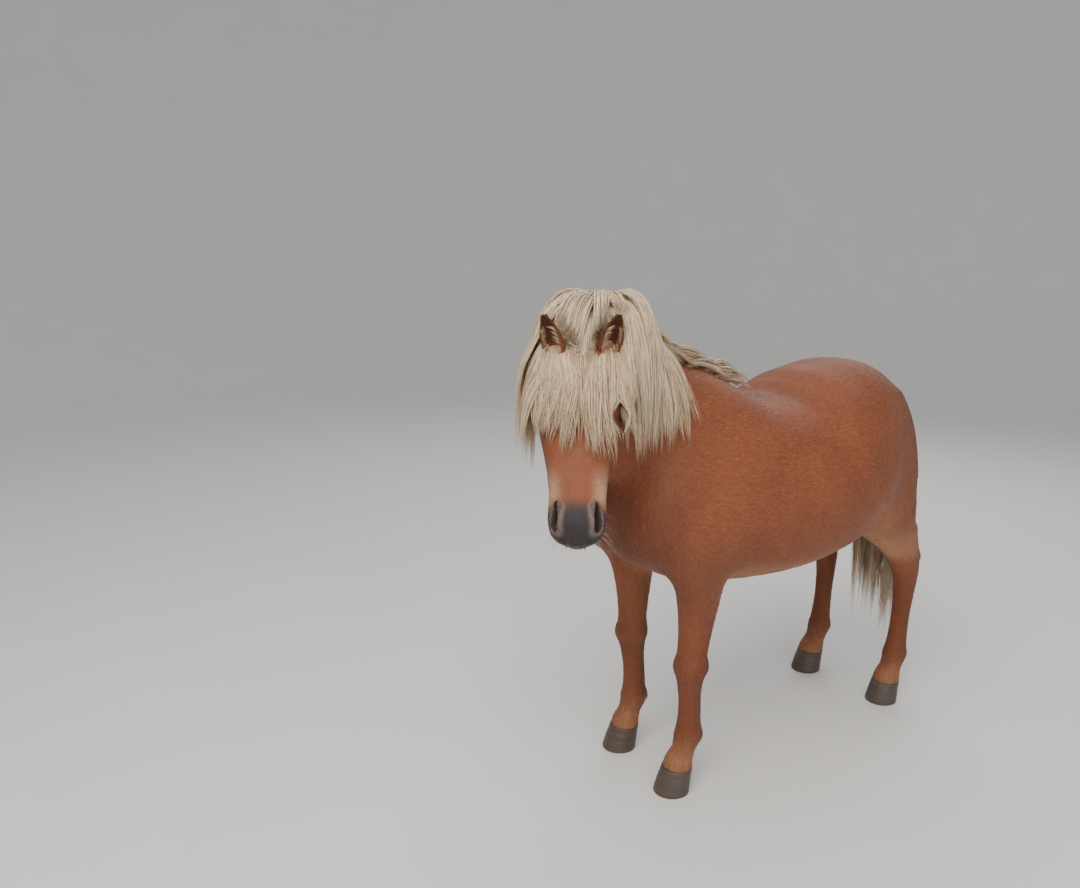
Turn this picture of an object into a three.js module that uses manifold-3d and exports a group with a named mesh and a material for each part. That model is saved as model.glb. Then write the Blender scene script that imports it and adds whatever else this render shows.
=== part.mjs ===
// A chestnut Shetland pony standing at rest, its head turned to its left and lowered.
// Millimetres, +X forward, +Y to the pony's left, +Z up, the ground at 0.
import * as THREE from 'three';
import { mergeVertices } from 'three/addons/utils/BufferGeometryUtils.js';
import Module from 'manifold-3d';

const wasm = await Module();
wasm.setup();

// Colours, roughness and metalness
const COAT = { color: 0x9c5332, roughness: 0.85, metalness: 0 };
const POINTS = { color: 0x7a3f28, roughness: 0.85, metalness: 0 };
const HAIR = { color: 0xdcc6a4, roughness: 0.75, metalness: 0 };
const HORN = { color: 0x4a4038, roughness: 0.6, metalness: 0 };
const EYE = { color: 0x14100e, roughness: 0.1, metalness: 0 };

// Half of the 0.3 mm kept between neighbours
const HALF_GAP = 0.15;
// Size of the blocks that cut nodes apart
const BLOCK_REACH = 1200;
// Value of a form's field where the form is too far off to matter
const FAR = 400;

// Trunk sections: x, centre z, half width, up, down, exponent above, exponent below
const TRUNK = [
  [518, 702, 20, 20, 20, 2.0, 2.0],
  [502, 702, 72, 62, 58, 2.0, 2.0],
  [464, 704, 124, 126, 108, 2.0, 2.0],
  [405, 706, 162, 192, 152, 2.0, 2.1],
  [325, 708, 194, 252, 196, 1.9, 2.2],
  [240, 706, 222, 294, 212, 1.7, 2.2],
  [150, 702, 246, 272, 220, 1.8, 2.2],
  [60, 698, 264, 240, 220, 2.1, 2.2],
  [-20, 698, 272, 236, 218, 2.2, 2.2],
  [-90, 704, 272, 256, 216, 2.3, 2.2],
  [-160, 712, 266, 276, 212, 2.3, 2.2],
  [-230, 730, 252, 272, 190, 2.3, 2.1],
  [-300, 758, 226, 247, 150, 2.2, 2.0],
  [-370, 775, 192, 214, 140, 2.1, 2.0],
  [-430, 785, 144, 168, 130, 2.0, 2.0],
  [-468, 788, 90, 110, 95, 2.0, 2.0],
  [-486, 786, 25, 40, 35, 2.0, 2.0],
];
// Leg sections from the top down: x, y, z, half length fore and aft, half width
const FORE_LEG = [
  [352, 70, 880, 40, 16],
  [362, 96, 810, 84, 44],
  [372, 116, 730, 108, 70],
  [362, 126, 660, 104, 76],
  [336, 130, 595, 86, 66],
  [320, 126, 540, 69, 54],
  [316, 122, 480, 55, 45],
  [318, 119, 410, 43, 37],
  [322, 117, 350, 38, 35],
  [325, 116, 315, 41, 38],
  [323, 115, 278, 33, 31],
  [321, 114, 225, 28, 24],
  [320, 113, 170, 29, 26],
  [321, 113, 132, 35, 31],
  [333, 113, 98, 28, 27],
  [346, 113, 68, 35, 35],
  [350, 113, 50, 34, 34],
];
const HIND_LEG = [
  [-338, 84, 900, 92, 56],
  [-336, 100, 820, 122, 80],
  [-336, 115, 735, 134, 91],
  [-344, 128, 655, 128, 86],
  [-370, 138, 590, 106, 71],
  [-410, 140, 528, 73, 53],
  [-450, 138, 470, 55, 42],
  [-480, 136, 420, 47, 37],
  [-492, 134, 375, 38, 33],
  [-494, 132, 320, 31, 28],
  [-490, 130, 245, 27, 25],
  [-485, 129, 175, 30, 27],
  [-480, 128, 134, 36, 32],
  [-467, 128, 98, 29, 28],
  [-452, 128, 68, 36, 36],
  [-448, 128, 50, 35, 35],
];
// How far the left and the right foot of each pair stand ahead of the pair's table, and the
// height above which the leg keeps its place
const FORE_STANCE = [8, -14];
const HIND_STANCE = [-8, 16];
const STANCE_TOP = 620;
// Neck sections from the withers to the poll: x, y, z, half width, towards the crest, towards
// the throat, then the direction of the crest
const NECK = [
  [255, 0, 800, 130, 175, 170, -0.50, 0, 0.87],
  [330, 2, 850, 122, 178, 172, -0.52, 0, 0.85],
  [410, 6, 905, 108, 165, 158, -0.45, 0, 0.89],
  [490, 14, 960, 94, 145, 136, -0.30, 0, 0.95],
  [555, 26, 1002, 82, 120, 116, -0.10, 0.05, 0.99],
  [605, 42, 1030, 70, 92, 96, 0.10, 0.15, 0.97],
  [640, 60, 1044, 60, 62, 74, 0.25, 0.30, 0.92],
];
// The head has a frame of its own at the poll: a towards the nose, s to the pony's left,
// n out of the forehead. Sections: a, centre n, half width, up, down, exponents
const POLL = new THREE.Vector3(635, 75, 1100);
const HEAD_YAW = 51.5;
const HEAD_DOWN = 47.5;
const HEAD_ROLL = 0.5;
const HEAD_SCALE = 0.95;
const HEAD = [
  [-34, -72, 12, 12, 12, 2.0, 2.0],
  [-24, -72, 42, 44, 44, 2.0, 2.0],
  [0, -74, 64, 72, 84, 2.1, 2.0],
  [40, -70, 78, 78, 108, 2.3, 2.1],
  [90, -62, 88, 76, 130, 2.5, 2.2],
  [140, -54, 90, 68, 142, 2.6, 2.2],
  [190, -54, 84, 61, 130, 2.6, 2.1],
  [240, -56, 73, 55, 98, 2.5, 2.0],
  [290, -58, 64, 50, 73, 2.4, 2.0],
  [340, -62, 59, 50, 56, 2.3, 2.1],
  [380, -66, 60, 51, 48, 2.3, 2.2],
  [408, -70, 55, 46, 42, 2.2, 2.2],
  [426, -74, 40, 33, 30, 2.1, 2.1],
  [436, -76, 12, 10, 10, 2.0, 2.0],
];

// Eye, lids, nostril and mouth, in the head's frame
const EYE_CENTRE = [150, 75, -27];
const EYE_RADIUS = 18;
const LID_THICKNESS = 3.4;
const EYE_OPENING = { halfLength: 15.5, halfHeight: 8.5, depth: 30 };
const NOSTRIL = { back: [372, 43, -24], front: [400, 41, -56], backRadius: 8, frontRadius: 12.5 };
const MOUTH = { corner: 352, front: 450, n: -93, halfWidth: 75, gape: 2.6, depth: 7 };

// Ear: place of its root, way it points, way its cup faces, and its sizes
const EAR_ROOT = [6, 53, -28];
const EAR_POINTS = [-0.5, 0.3, 0.8];
const EAR_FACES = [0.8, 0.42, 0.5];
const EAR = { length: 125, halfWidth: 25, roundness: 0.8, wall: 4, sunk: 26, rings: 9, points: 6 };
// Half width of the ear as a share of its widest, at even steps from root to tip
const EAR_OUTLINE = [0.62, 0.78, 0.92, 1.0, 0.99, 0.9, 0.74, 0.5, 0.22];
// How far hair of the head keeps off an ear
const EAR_ROOM = 1.5;

// Hooves, from the sole to the coronet
const HOOF_HEIGHT = 60;
const HOOF = { toe: 15, soleHalfLength: 47, soleHalfWidth: 43, topHalf: 37, sides: 16 };
// Heights of the hoof's sections, with how far each has drawn in from the sole's size to the top's
const HOOF_LEVELS = [[0, 0], [7, 0.06], [34, 0.5], [HOOF_HEIGHT - HALF_GAP, 1]];

// The crown of the head, where its hair parts. The undermost hair lies on an ellipsoid of these
// half sizes, and the solid core ends a depth under that
const CROWN = { at: new THREE.Vector3(546, 24, 1096), radii: [84, 84, 90], depth: 28 };
// Where the forelock starts, between the ears, in the head's frame
const FORELOCK_ROOT = [4, 0, 0];
// What the chance in the locks starts from
const LOCK_SEED = 1;
// Locks: steps of a hanging line, where along it the sections stand and their share of the width
const HANG_STEPS = 24;
const HAIR_DROOP = 0.02;
const LOCK_STATIONS = [0, 0.13, 0.33, 0.62];
const LOCK_WIDTHS = [0.35, 0.95, 1, 0.85];
const LOCK_THICKNESS = 7;
const ROOT_DEPTH = 10;
// Locks that spread from a centre, each group from the undermost layer up. Turns are degrees from
// the way the head faces, to the pony's left
const FORELOCK_LAYERS = [
  { count: 7, turns: [-108, 96], ring: 30, rise: 0.1, lift: 5, reach: 235, width: 62 },
  { count: 4, turns: [-104, 20], ring: 16, rise: 0.5, lift: 18, reach: 265, width: 60 },
];
const CROWN_LAYERS = [
  { count: 3, turns: [-56, 0], ring: 44, rise: 0.1, lift: 12, reach: 365, width: 58 },
  { count: 3, turns: [-62, 6], ring: 14, rise: 0.6, lift: 25, reach: 405, width: 54 },
  { count: 3, turns: [-128, -62], ring: 36, rise: 0.2, lift: 22, reach: 330, width: 62 },
  { count: 3, turns: [-118, -56], ring: 20, rise: 0.8, lift: 56, reach: 395, width: 60 },
];
// The tuft that falls behind the left ear
const NEAR_LAYERS = [
  { count: 4, turns: [38, 114], ring: 44, rise: 0.1, lift: 16, reach: 335, width: 62 },
  { count: 3, turns: [36, 100], ring: 16, rise: 0.6, lift: 30, reach: 375, width: 60 },
];
// Mane, as ribs that fall down the neck's right side, by share of the neck from the withers
const MANE = { ribs: 8, from: 0.16, to: 0.54, rise: 0.5, lift: 5, reach: 265, rootRadius: 21, tipRadius: 11 };
const MANE_BLEND = 23;
// How far under the crown's hair its back, on the neck, lies
const NAPE_DEPTH = 27;
// Tail sections from the dock to the tips: x, y, z, half width, half depth
const TAIL = [
  [-498, 0, 905, 20, 18],
  [-518, 0, 882, 32, 25],
  [-524, 0, 820, 44, 25],
  [-519, 0, 700, 54, 23],
  [-515, 0, 560, 58, 22],
  [-512, 0, 400, 58, 20],
  [-510, 0, 270, 50, 17],
  [-508, 0, 195, 34, 12],
  [-507, 0, 155, 14, 6],
];

// Where the nodes part: the neck from the torso, the head from the neck, the legs and the tail
const NECK_CUT = { at: [235, 0, 1000], normal: [0.621, 0, 0.784] };
const HEAD_CUT = { at: [520, 10, 1118], normal: [0.88, 0.45, 0.15] };
const FORE_CUT = { lo: [212, 8, HOOF_HEIGHT], hi: [455, 260, 488] };
const HIND_CUT = { lo: [-585, 8, HOOF_HEIGHT], hi: [-262, 260, 560] };
const DOCK_CUT = { lo: [-760, -62, 400], hi: [-482, 62, 960] };

// Sizes of the cells each form is meshed with
const TORSO_CELL = [56, 48, 46];
const NECK_CELL = [36, 30, 34];
const HEAD_CELL = [21, 16, 16];
const LEG_CELL = [24, 23, 32];

// Forms as fields: negative inside, and near the surface about the distance to it

function smoothMin(a, b, k) {
  const h = Math.min(1, Math.max(0, 0.5 + (0.5 * (b - a)) / k));
  return b + (a - b) * h - k * h * (1 - h);
}

function smoothMax(a, b, k) {
  return -smoothMin(-a, -b, k);
}

// Monotone cubic curve through a table's rows, read by its first column
function steadyCurve(table) {
  const rows = [...table].sort((a, b) => a[0] - b[0]);
  const columns = rows[0].length - 1;
  const gaps = rows.slice(1).map((row, i) => row[0] - rows[i][0]);
  const rise = rows.slice(1).map((row, i) => row.slice(1).map((v, c) => (v - rows[i][c + 1]) / gaps[i]));
  const slopes = rows.map((row, i) => row.slice(1).map((v, c) => {
    if (i === 0) return rise[0][c];
    if (i === rows.length - 1) return rise[i - 1][c];
    const [before, after] = [rise[i - 1][c], rise[i][c]];
    if (before * after <= 0) return 0;
    const [w1, w2] = [2 * gaps[i] + gaps[i - 1], gaps[i] + 2 * gaps[i - 1]];
    return (w1 + w2) / (w1 / before + w2 / after);
  }));
  const [lo, hi] = [rows[0][0], rows[rows.length - 1][0]];
  const read = (x) => {
    const at = Math.min(hi, Math.max(lo, x));
    let i = 0;
    while (i < gaps.length - 1 && at > rows[i + 1][0]) i += 1;
    const s = (at - rows[i][0]) / gaps[i];
    const values = [];
    for (let c = 0; c < columns; c += 1) {
      values.push((2 * s ** 3 - 3 * s ** 2 + 1) * rows[i][c + 1]
        + (s ** 3 - 2 * s ** 2 + s) * gaps[i] * slopes[i][c]
        + (3 * s ** 2 - 2 * s ** 3) * rows[i + 1][c + 1]
        + (s ** 3 - s ** 2) * gaps[i] * slopes[i + 1][c]);
    }
    return values;
  };
  return { lo, hi, read };
}

// A point (u, v) against a superellipse of half sizes a and b
function superellipse(u, v, a, b, exponent) {
  const rho = ((Math.abs(u) / a) ** exponent + (Math.abs(v) / b) ** exponent) ** (1 / exponent);
  return rho > 0.05 ? Math.hypot(u, v) * (1 - 1 / rho) : -Math.min(a, b);
}

// Loft whose sections stand square to x: u across, v up
function straightLoft(curve, x, u, v) {
  const [centre, half, up, down, above, below] = curve.read(x);
  const high = v > centre;
  const d = superellipse(u, v - centre, half, high ? up : down, high ? above : below);
  const over = Math.max(curve.lo - x, x - curve.hi, 0);
  return over > 0 ? Math.hypot(Math.max(d, 0), over) : d;
}

// A table's rows joined by Catmull-Rom curves, steps to each gap
function resample(table, steps) {
  const rows = [];
  for (let i = 0; i < table.length - 1; i += 1) {
    const [p0, p1, p2] = [table[Math.max(i - 1, 0)], table[i], table[i + 1]];
    const p3 = table[Math.min(i + 2, table.length - 1)];
    for (let j = 0; j < steps; j += 1) {
      const s = j / steps;
      rows.push(p1.map((v, c) => 0.5 * (2 * v + (p2[c] - p0[c]) * s
        + (2 * p0[c] - 5 * v + 4 * p2[c] - p3[c]) * s ** 2
        + (3 * v - p0[c] - 3 * p2[c] + p3[c]) * s ** 3)));
    }
  }
  rows.push(table[table.length - 1]);
  return rows;
}

// Loft along a curve. A row holds the centre, half across, towards up, away from it, and up
function bentLoft(rows, [x, y, z], exponent) {
  let [nearest, seg, share] = [Infinity, 0, 0];
  for (let i = 0; i < rows.length - 1; i += 1) {
    const [a, b] = [rows[i], rows[i + 1]];
    const [dx, dy, dz] = [b[0] - a[0], b[1] - a[1], b[2] - a[2]];
    const dot = (x - a[0]) * dx + (y - a[1]) * dy + (z - a[2]) * dz;
    const t = Math.min(1, Math.max(0, dot / (dx * dx + dy * dy + dz * dz)));
    const far = (x - a[0] - t * dx) ** 2 + (y - a[1] - t * dy) ** 2 + (z - a[2] - t * dz) ** 2;
    if (far < nearest) [nearest, seg, share] = [far, i, t];
  }
  const at = rows[seg].map((v, c) => v + (rows[seg + 1][c] - v) * share);
  const along = new THREE.Vector3(...rows[seg + 1]).sub(new THREE.Vector3(...rows[seg])).normalize();
  const up = new THREE.Vector3(at[6], at[7], at[8]);
  up.addScaledVector(along, -up.dot(along)).normalize();
  const side = new THREE.Vector3().crossVectors(along, up);
  const from = new THREE.Vector3(x - at[0], y - at[1], z - at[2]);
  const [u, v, w] = [from.dot(side), from.dot(up), from.dot(along)];
  const d = superellipse(u, v, at[3], v > 0 ? at[4] : at[5], exponent);
  const atEnd = (seg === 0 && share <= 0) || (seg === rows.length - 2 && share >= 1);
  if (!atEnd) return d;
  return d > 0 ? Math.hypot(d, w) : Math.max(d, Math.abs(w) - 0.001);
}

function ellipsoid([x, y, z], [cx, cy, cz], [rx, ry, rz]) {
  const [dx, dy, dz] = [x - cx, y - cy, z - cz];
  const k0 = Math.hypot(dx / rx, dy / ry, dz / rz);
  const k1 = Math.hypot(dx / rx ** 2, dy / ry ** 2, dz / rz ** 2);
  return k1 > 1e-9 ? (k0 * (k0 - 1)) / k1 : -Math.min(rx, ry, rz);
}

// Round-ended cone from a to b
function cone([x, y, z], a, b, startRadius, endRadius) {
  const [dx, dy, dz] = [b[0] - a[0], b[1] - a[1], b[2] - a[2]];
  const dot = (x - a[0]) * dx + (y - a[1]) * dy + (z - a[2]) * dz;
  const t = Math.min(1, Math.max(0, dot / (dx * dx + dy * dy + dz * dz)));
  const far = Math.hypot(x - a[0] - t * dx, y - a[1] - t * dy, z - a[2] - t * dz);
  return far - (startRadius + (endRadius - startRadius) * t);
}

// A form's field, worked out only near the box that holds the form
function near(p, lo, hi, form) {
  const margin = 60;
  const outside = p.some((v, i) => v < lo[i] - margin || v > hi[i] + margin);
  return outside ? FAR : form(p);
}

// Each pair of legs is one form, mirrored, with its feet moved apart
function withStance([x, y, z], [left, right]) {
  const move = y > 0 ? left : right;
  return [x - move * Math.min(1, Math.max(0, 1 - z / STANCE_TOP)), Math.abs(y), z];
}

const legRows = (table) => resample(table.map(([x, y, z, length, width]) => [
  x, y, z, width, length, length, 1, 0, 0,
]), 3);
const FORE_ROWS = legRows(FORE_LEG);
const HIND_ROWS = legRows(HIND_LEG);
const NECK_ROWS = resample(NECK, 4);
const TRUNK_CURVE = steadyCurve(TRUNK);
const HEAD_CURVE = steadyCurve(HEAD);

function foreLeg(p) {
  const q = withStance(p, FORE_STANCE);
  let d = bentLoft(FORE_ROWS, q, 2.1);
  d = smoothMin(d, ellipsoid(q, [452, 98, 690], [54, 50, 66]), 50);
  d = smoothMin(d, ellipsoid(q, [275, 158, 668], [82, 44, 92]), 45);
  d = smoothMin(d, ellipsoid(q, [324, 119, 318], [40, 40, 30]), 14);
  d = smoothMin(d, cone(q, [300, 114, 340], [302, 113, 322], 15, 13), 16);
  d = smoothMin(d, cone(q, [300, 113, 290], [294, 113, 140], 9, 12), 12);
  return smoothMin(d, ellipsoid(q, [296, 113, 128], [18, 20, 18]), 14);
}

function hindLeg(p) {
  const q = withStance(p, HIND_STANCE);
  let d = bentLoft(HIND_ROWS, q, 2.1);
  d = smoothMin(d, ellipsoid(q, [-268, 148, 622], [50, 46, 66]), 60);
  d = smoothMin(d, cone(q, [-486, 136, 432], [-532, 134, 424], 22, 13), 18);
  d = smoothMin(d, cone(q, [-533, 134, 430], [-486, 142, 525], 11, 20), 22);
  d = smoothMin(d, cone(q, [-519, 133, 402], [-510, 131, 290], 12, 10), 16);
  d = smoothMin(d, cone(q, [-512, 131, 290], [-508, 128, 150], 10, 12), 12);
  return smoothMin(d, ellipsoid(q, [-506, 128, 130], [18, 20, 18]), 14);
}

// The head in its own frame, both sides alike
function headForm([a, side, n]) {
  const s = Math.abs(side);
  const q = [a, s, n];
  let d = straightLoft(HEAD_CURVE, a, s, n);
  d = smoothMin(d, ellipsoid(q, [118, 42, -118], [74, 30, 66]), 22);
  d = smoothMin(d, ellipsoid(q, [135, 72, -14], [36, 22, 22]), 22);
  d = smoothMin(d, cone(q, [165, 72, -58], [255, 54, -62], 9, 6), 16);
  d = smoothMin(d, ellipsoid(q, [396, 0, -106], [34, 28, 20]), 16);
  d = smoothMax(d, -ellipsoid(q, [100, 62, 16], [30, 14, 12]), 16);
  return smoothMax(d, -ellipsoid(q, [150, 0, -226], [100, 20, 44]), 24);
}

function headAxes() {
  const [yaw, down, roll] = [HEAD_YAW, HEAD_DOWN, HEAD_ROLL].map(THREE.MathUtils.degToRad);
  const a = new THREE.Vector3(Math.cos(yaw) * Math.cos(down), Math.sin(yaw) * Math.cos(down), -Math.sin(down));
  const s = new THREE.Vector3(-Math.sin(yaw), Math.cos(yaw), 0);
  const n = new THREE.Vector3().crossVectors(a, s);
  const sRolled = s.clone().multiplyScalar(Math.cos(roll)).addScaledVector(n, Math.sin(roll));
  const nRolled = n.clone().multiplyScalar(Math.cos(roll)).addScaledVector(s, -Math.sin(roll));
  return [a, sRolled, nRolled];
}

const HEAD_AXES = headAxes();

function toHead([x, y, z]) {
  const from = new THREE.Vector3(x, y, z).sub(POLL).divideScalar(HEAD_SCALE);
  return HEAD_AXES.map((axis) => from.dot(axis));
}

function headWay([a, s, n]) {
  const way = new THREE.Vector3();
  [a, s, n].forEach((v, i) => way.addScaledVector(HEAD_AXES[i], v));
  return way;
}

function fromHead(q) {
  return headWay(q).multiplyScalar(HEAD_SCALE).add(POLL);
}

// The whole pony without its ears, eyes, hooves and hair
function flesh(p) {
  const mirrored = [p[0], Math.abs(p[1]), p[2]];
  let d = near(p, [-490, -300, 460], [520, 300, 1020], ([x, y, z]) => straightLoft(TRUNK_CURVE, x, y, z));
  d = smoothMin(d, near(p, [200, -150, 650], [700, 200, 1180], (q) => bentLoft(NECK_ROWS, q, 2)), 70);
  d = smoothMin(d, near(p, [410, -110, 580], [520, 110, 740],
    () => ellipsoid(mirrored, [462, 50, 660], [48, 52, 68])), 40);
  d = smoothMin(d, near(p, [170, -220, 40], [530, 220, 920], foreLeg), 48);
  d = smoothMin(d, near(p, [-590, -270, 40], [-190, 270, 1000], hindLeg), 52);
  d = smoothMin(d, near(p, [-560, -60, 830], [-370, 60, 990],
    (q) => cone(q, [-420, 0, 925], [-515, 0, 885], 46, 28)), 40);
  return smoothMin(d, near(p, [420, -120, 680], [900, 420, 1160], (q) => headForm(toHead(q)) * HEAD_SCALE), 32);
}

// Way out of a form at a point, and the point moved to where the field has a given value
function wayOut(field, p) {
  const h = 0.5;
  const slope = [0, 1, 2].map((i) => {
    const [ahead, behind] = [[...p], [...p]];
    ahead[i] += h;
    behind[i] -= h;
    return field(ahead) - field(behind);
  });
  return new THREE.Vector3(...slope).normalize();
}

function movedTo(field, p, value, limit) {
  let at = new THREE.Vector3(...p);
  for (let i = 0; i < 3; i += 1) {
    const off = field(at.toArray()) - value;
    at.addScaledVector(wayOut(field, at.toArray()), -Math.min(limit, Math.max(-limit, off)));
  }
  return at;
}

// Solids

function solidOf(points, triangles) {
  const vertProperties = new Float32Array(points.flatMap((p) => [p.x, p.y, p.z]));
  const triVerts = new Uint32Array(triangles.flat());
  return new wasm.Manifold(new wasm.Mesh({ numProp: 3, vertProperties, triVerts }));
}

function solidOfGeometry(source, matrix) {
  const bare = source.clone();
  bare.deleteAttribute('normal');
  bare.deleteAttribute('uv');
  const merged = mergeVertices(bare, 1e-4);
  merged.applyMatrix4(matrix);
  return new wasm.Manifold(new wasm.Mesh({
    numProp: 3,
    vertProperties: new Float32Array(merged.attributes.position.array),
    triVerts: new Uint32Array(merged.index.array),
  }));
}

function largestOf(solid) {
  return solid.decompose().reduce((best, piece) => (piece.volume() > best.volume() ? piece : best));
}

function frameMatrix(centre, axes) {
  return new THREE.Matrix4().makeBasis(...axes).setPosition(centre);
}

const BODY_AXES = [new THREE.Vector3(1, 0, 0), new THREE.Vector3(0, 1, 0), new THREE.Vector3(0, 0, 1)];

// A box from lo to hi in body millimetres, larger by grow on every side
function boxSolid(lo, hi, grow) {
  const size = hi.map((v, i) => v - lo[i] + 2 * grow);
  const centre = new THREE.Vector3(...hi.map((v, i) => (v + lo[i]) / 2));
  return solidOfGeometry(new THREE.BoxGeometry(...size), frameMatrix(centre, BODY_AXES));
}

// A large block on the side of a plane that its normal points to, moved out by grow
function sideBlock(at, normal, grow) {
  const out = normal.clone().normalize();
  const across = new THREE.Vector3().crossVectors(BODY_AXES[2], out).normalize();
  const up = new THREE.Vector3().crossVectors(out, across);
  const centre = at.clone().addScaledVector(out, BLOCK_REACH / 2 - grow).addScaledVector(up, -grow / 2);
  const box = new THREE.BoxGeometry(BLOCK_REACH, 2 * BLOCK_REACH, 2 * BLOCK_REACH + grow);
  return solidOfGeometry(box, frameMatrix(centre, [out, across, up]));
}

// Rings of points joined in order into a closed solid. A ring of one point is a tip
function ringSolid(rings) {
  const points = rings.flat();
  const starts = [];
  rings.reduce((sum, ring) => {
    starts.push(sum);
    return sum + ring.length;
  }, 0);
  const triangles = [];
  const cap = (ring, start, turned) => {
    for (let i = 1; i < ring.length - 1; i += 1) {
      triangles.push(turned ? [start, start + i, start + i + 1] : [start, start + i + 1, start + i]);
    }
  };
  cap(rings[0], starts[0], false);
  for (let r = 0; r < rings.length - 1; r += 1) {
    const count = rings[r].length;
    const tip = rings[r + 1].length === 1;
    for (let i = 0; i < count; i += 1) {
      const [a, b] = [starts[r] + i, starts[r] + ((i + 1) % count)];
      if (tip) triangles.push([a, b, starts[r + 1]]);
      else triangles.push([a, b, starts[r + 1] + ((i + 1) % count)], [a, starts[r + 1] + ((i + 1) % count), starts[r + 1] + i]);
    }
  }
  const last = rings.length - 1;
  if (rings[last].length > 1) cap(rings[last], starts[last], true);
  const solid = solidOf(points, triangles);
  return solid.volume() > 0 ? solid : solidOf(points, triangles.map(([a, b, c]) => [a, c, b]));
}

// The zero level of a field as a closed mesh, in a box of cells set on the given frame
function netSolid(field, { centre, axes }, lo, hi, cell) {
  const count = lo.map((v, i) => Math.ceil((hi[i] - v) / cell[i]));
  const place = (i, j, k) => {
    const p = centre.clone();
    [i, j, k].forEach((v, c) => p.addScaledVector(axes[c], lo[c] + v * cell[c]));
    return p;
  };
  const index = (i, j, k) => (i * (count[1] + 1) + j) * (count[2] + 1) + k;
  const values = new Float64Array((count[0] + 1) * (count[1] + 1) * (count[2] + 1));
  const onWall = (v, c) => v === 0 || v === count[c];
  for (let i = 0; i <= count[0]; i += 1) {
    for (let j = 0; j <= count[1]; j += 1) {
      for (let k = 0; k <= count[2]; k += 1) {
        const value = field(place(i, j, k).toArray());
        const wall = onWall(i, 0) || onWall(j, 1) || onWall(k, 2);
        values[index(i, j, k)] = wall ? Math.max(value, 1) : value;
      }
    }
  }
  clearDiagonals(values, index, count);
  const points = [];
  const numbers = new Map();
  for (let i = 0; i < count[0]; i += 1) {
    for (let j = 0; j < count[1]; j += 1) {
      for (let k = 0; k < count[2]; k += 1) {
        const point = crossingCentre(values, index, [i, j, k]);
        if (point) {
          numbers.set(index(i, j, k), points.length);
          const inner = [i, j, k].every((v, c) => v > 0 && v < count[c] - 1);
          const at = place(i + point[0], j + point[1], k + point[2]);
          points.push(inner ? movedTo(field, at.toArray(), 0, 0.4 * Math.min(...cell)) : at);
        }
      }
    }
  }
  return solidOf(points, netTriangles(values, index, count, numbers, points));
}

// Where the corners of a cell's face are inside and outside crosswise, the corner nearest to the
// surface changes side, so that no two sheets share an edge
function clearDiagonals(values, index, count) {
  let changed = true;
  for (let pass = 0; changed && pass < 6; pass += 1) {
    changed = false;
    for (let axis = 0; axis < 3; axis += 1) {
      const [u, v] = [(axis + 1) % 3, (axis + 2) % 3];
      const c = [0, 0, 0];
      for (c[axis] = 1; c[axis] < count[axis]; c[axis] += 1) {
        for (c[u] = 1; c[u] < count[u] - 1; c[u] += 1) {
          for (c[v] = 1; c[v] < count[v] - 1; c[v] += 1) {
            const corners = [[0, 0], [1, 0], [1, 1], [0, 1]].map(([du, dv]) => {
              const at = [...c];
              at[u] += du;
              at[v] += dv;
              return index(...at);
            });
            const [p, q, r, s] = corners.map((at) => values[at] < 0);
            if (p !== r || q !== s || p === q) continue;
            const nearest = corners.reduce((a, b) => (Math.abs(values[a]) < Math.abs(values[b]) ? a : b));
            values[nearest] = values[nearest] < 0 ? 0.5 : -0.5;
            changed = true;
          }
        }
      }
    }
  }
}

// Mean of the places where a cell's edges cross the surface, in shares of the cell
function crossingCentre(values, index, [i, j, k]) {
  let [hits, x, y, z] = [0, 0, 0, 0];
  for (let axis = 0; axis < 3; axis += 1) {
    for (let u = 0; u < 2; u += 1) {
      for (let v = 0; v < 2; v += 1) {
        const from = [0, 0, 0];
        from[(axis + 1) % 3] = u;
        from[(axis + 2) % 3] = v;
        const to = [...from];
        to[axis] = 1;
        const a = values[index(i + from[0], j + from[1], k + from[2])];
        const b = values[index(i + to[0], j + to[1], k + to[2])];
        if (a < 0 !== b < 0) {
          from[axis] = a / (a - b);
          hits += 1;
          x += from[0];
          y += from[1];
          z += from[2];
        }
      }
    }
  }
  return hits > 0 ? [x / hits, y / hits, z / hits] : null;
}

// Two triangles round every grid edge that crosses the surface
function netTriangles(values, index, count, numbers, points) {
  const triangles = [];
  for (let axis = 0; axis < 3; axis += 1) {
    const [u, v] = [(axis + 1) % 3, (axis + 2) % 3];
    const c = [0, 0, 0];
    for (c[axis] = 0; c[axis] < count[axis]; c[axis] += 1) {
      for (c[u] = 1; c[u] < count[u]; c[u] += 1) {
        for (c[v] = 1; c[v] < count[v]; c[v] += 1) {
          const next = [...c];
          next[axis] += 1;
          const inside = values[index(...c)] < 0;
          if (inside === values[index(...next)] < 0) continue;
          const quad = [[1, 1], [0, 1], [0, 0], [1, 0]].map(([du, dv]) => {
            const at = [...c];
            at[u] -= du;
            at[v] -= dv;
            return numbers.get(index(...at));
          });
          triangles.push(...splitQuad(inside ? quad : quad.reverse(), points));
        }
      }
    }
  }
  return triangles;
}

function splitQuad([a, b, c, d], points) {
  const short = points[a].distanceTo(points[c]) <= points[b].distanceTo(points[d]);
  return short ? [[a, b, c], [a, c, d]] : [[a, b, d], [b, c, d]];
}

// Nodes of flesh

const BODY_FRAME = { centre: new THREE.Vector3(), axes: BODY_AXES };
const HEAD_FRAME = { centre: POLL, axes: HEAD_AXES };

function neckBlock(grow) {
  return sideBlock(new THREE.Vector3(...NECK_CUT.at), new THREE.Vector3(...NECK_CUT.normal), grow);
}

function headBlock(grow) {
  return sideBlock(new THREE.Vector3(...HEAD_CUT.at), new THREE.Vector3(...HEAD_CUT.normal), grow);
}

function mirroredBox({ lo, hi }, side, grow) {
  if (side > 0) return boxSolid(lo, hi, grow);
  return boxSolid([lo[0], -hi[1], lo[2]], [hi[0], -lo[1], hi[2]], grow);
}

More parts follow.
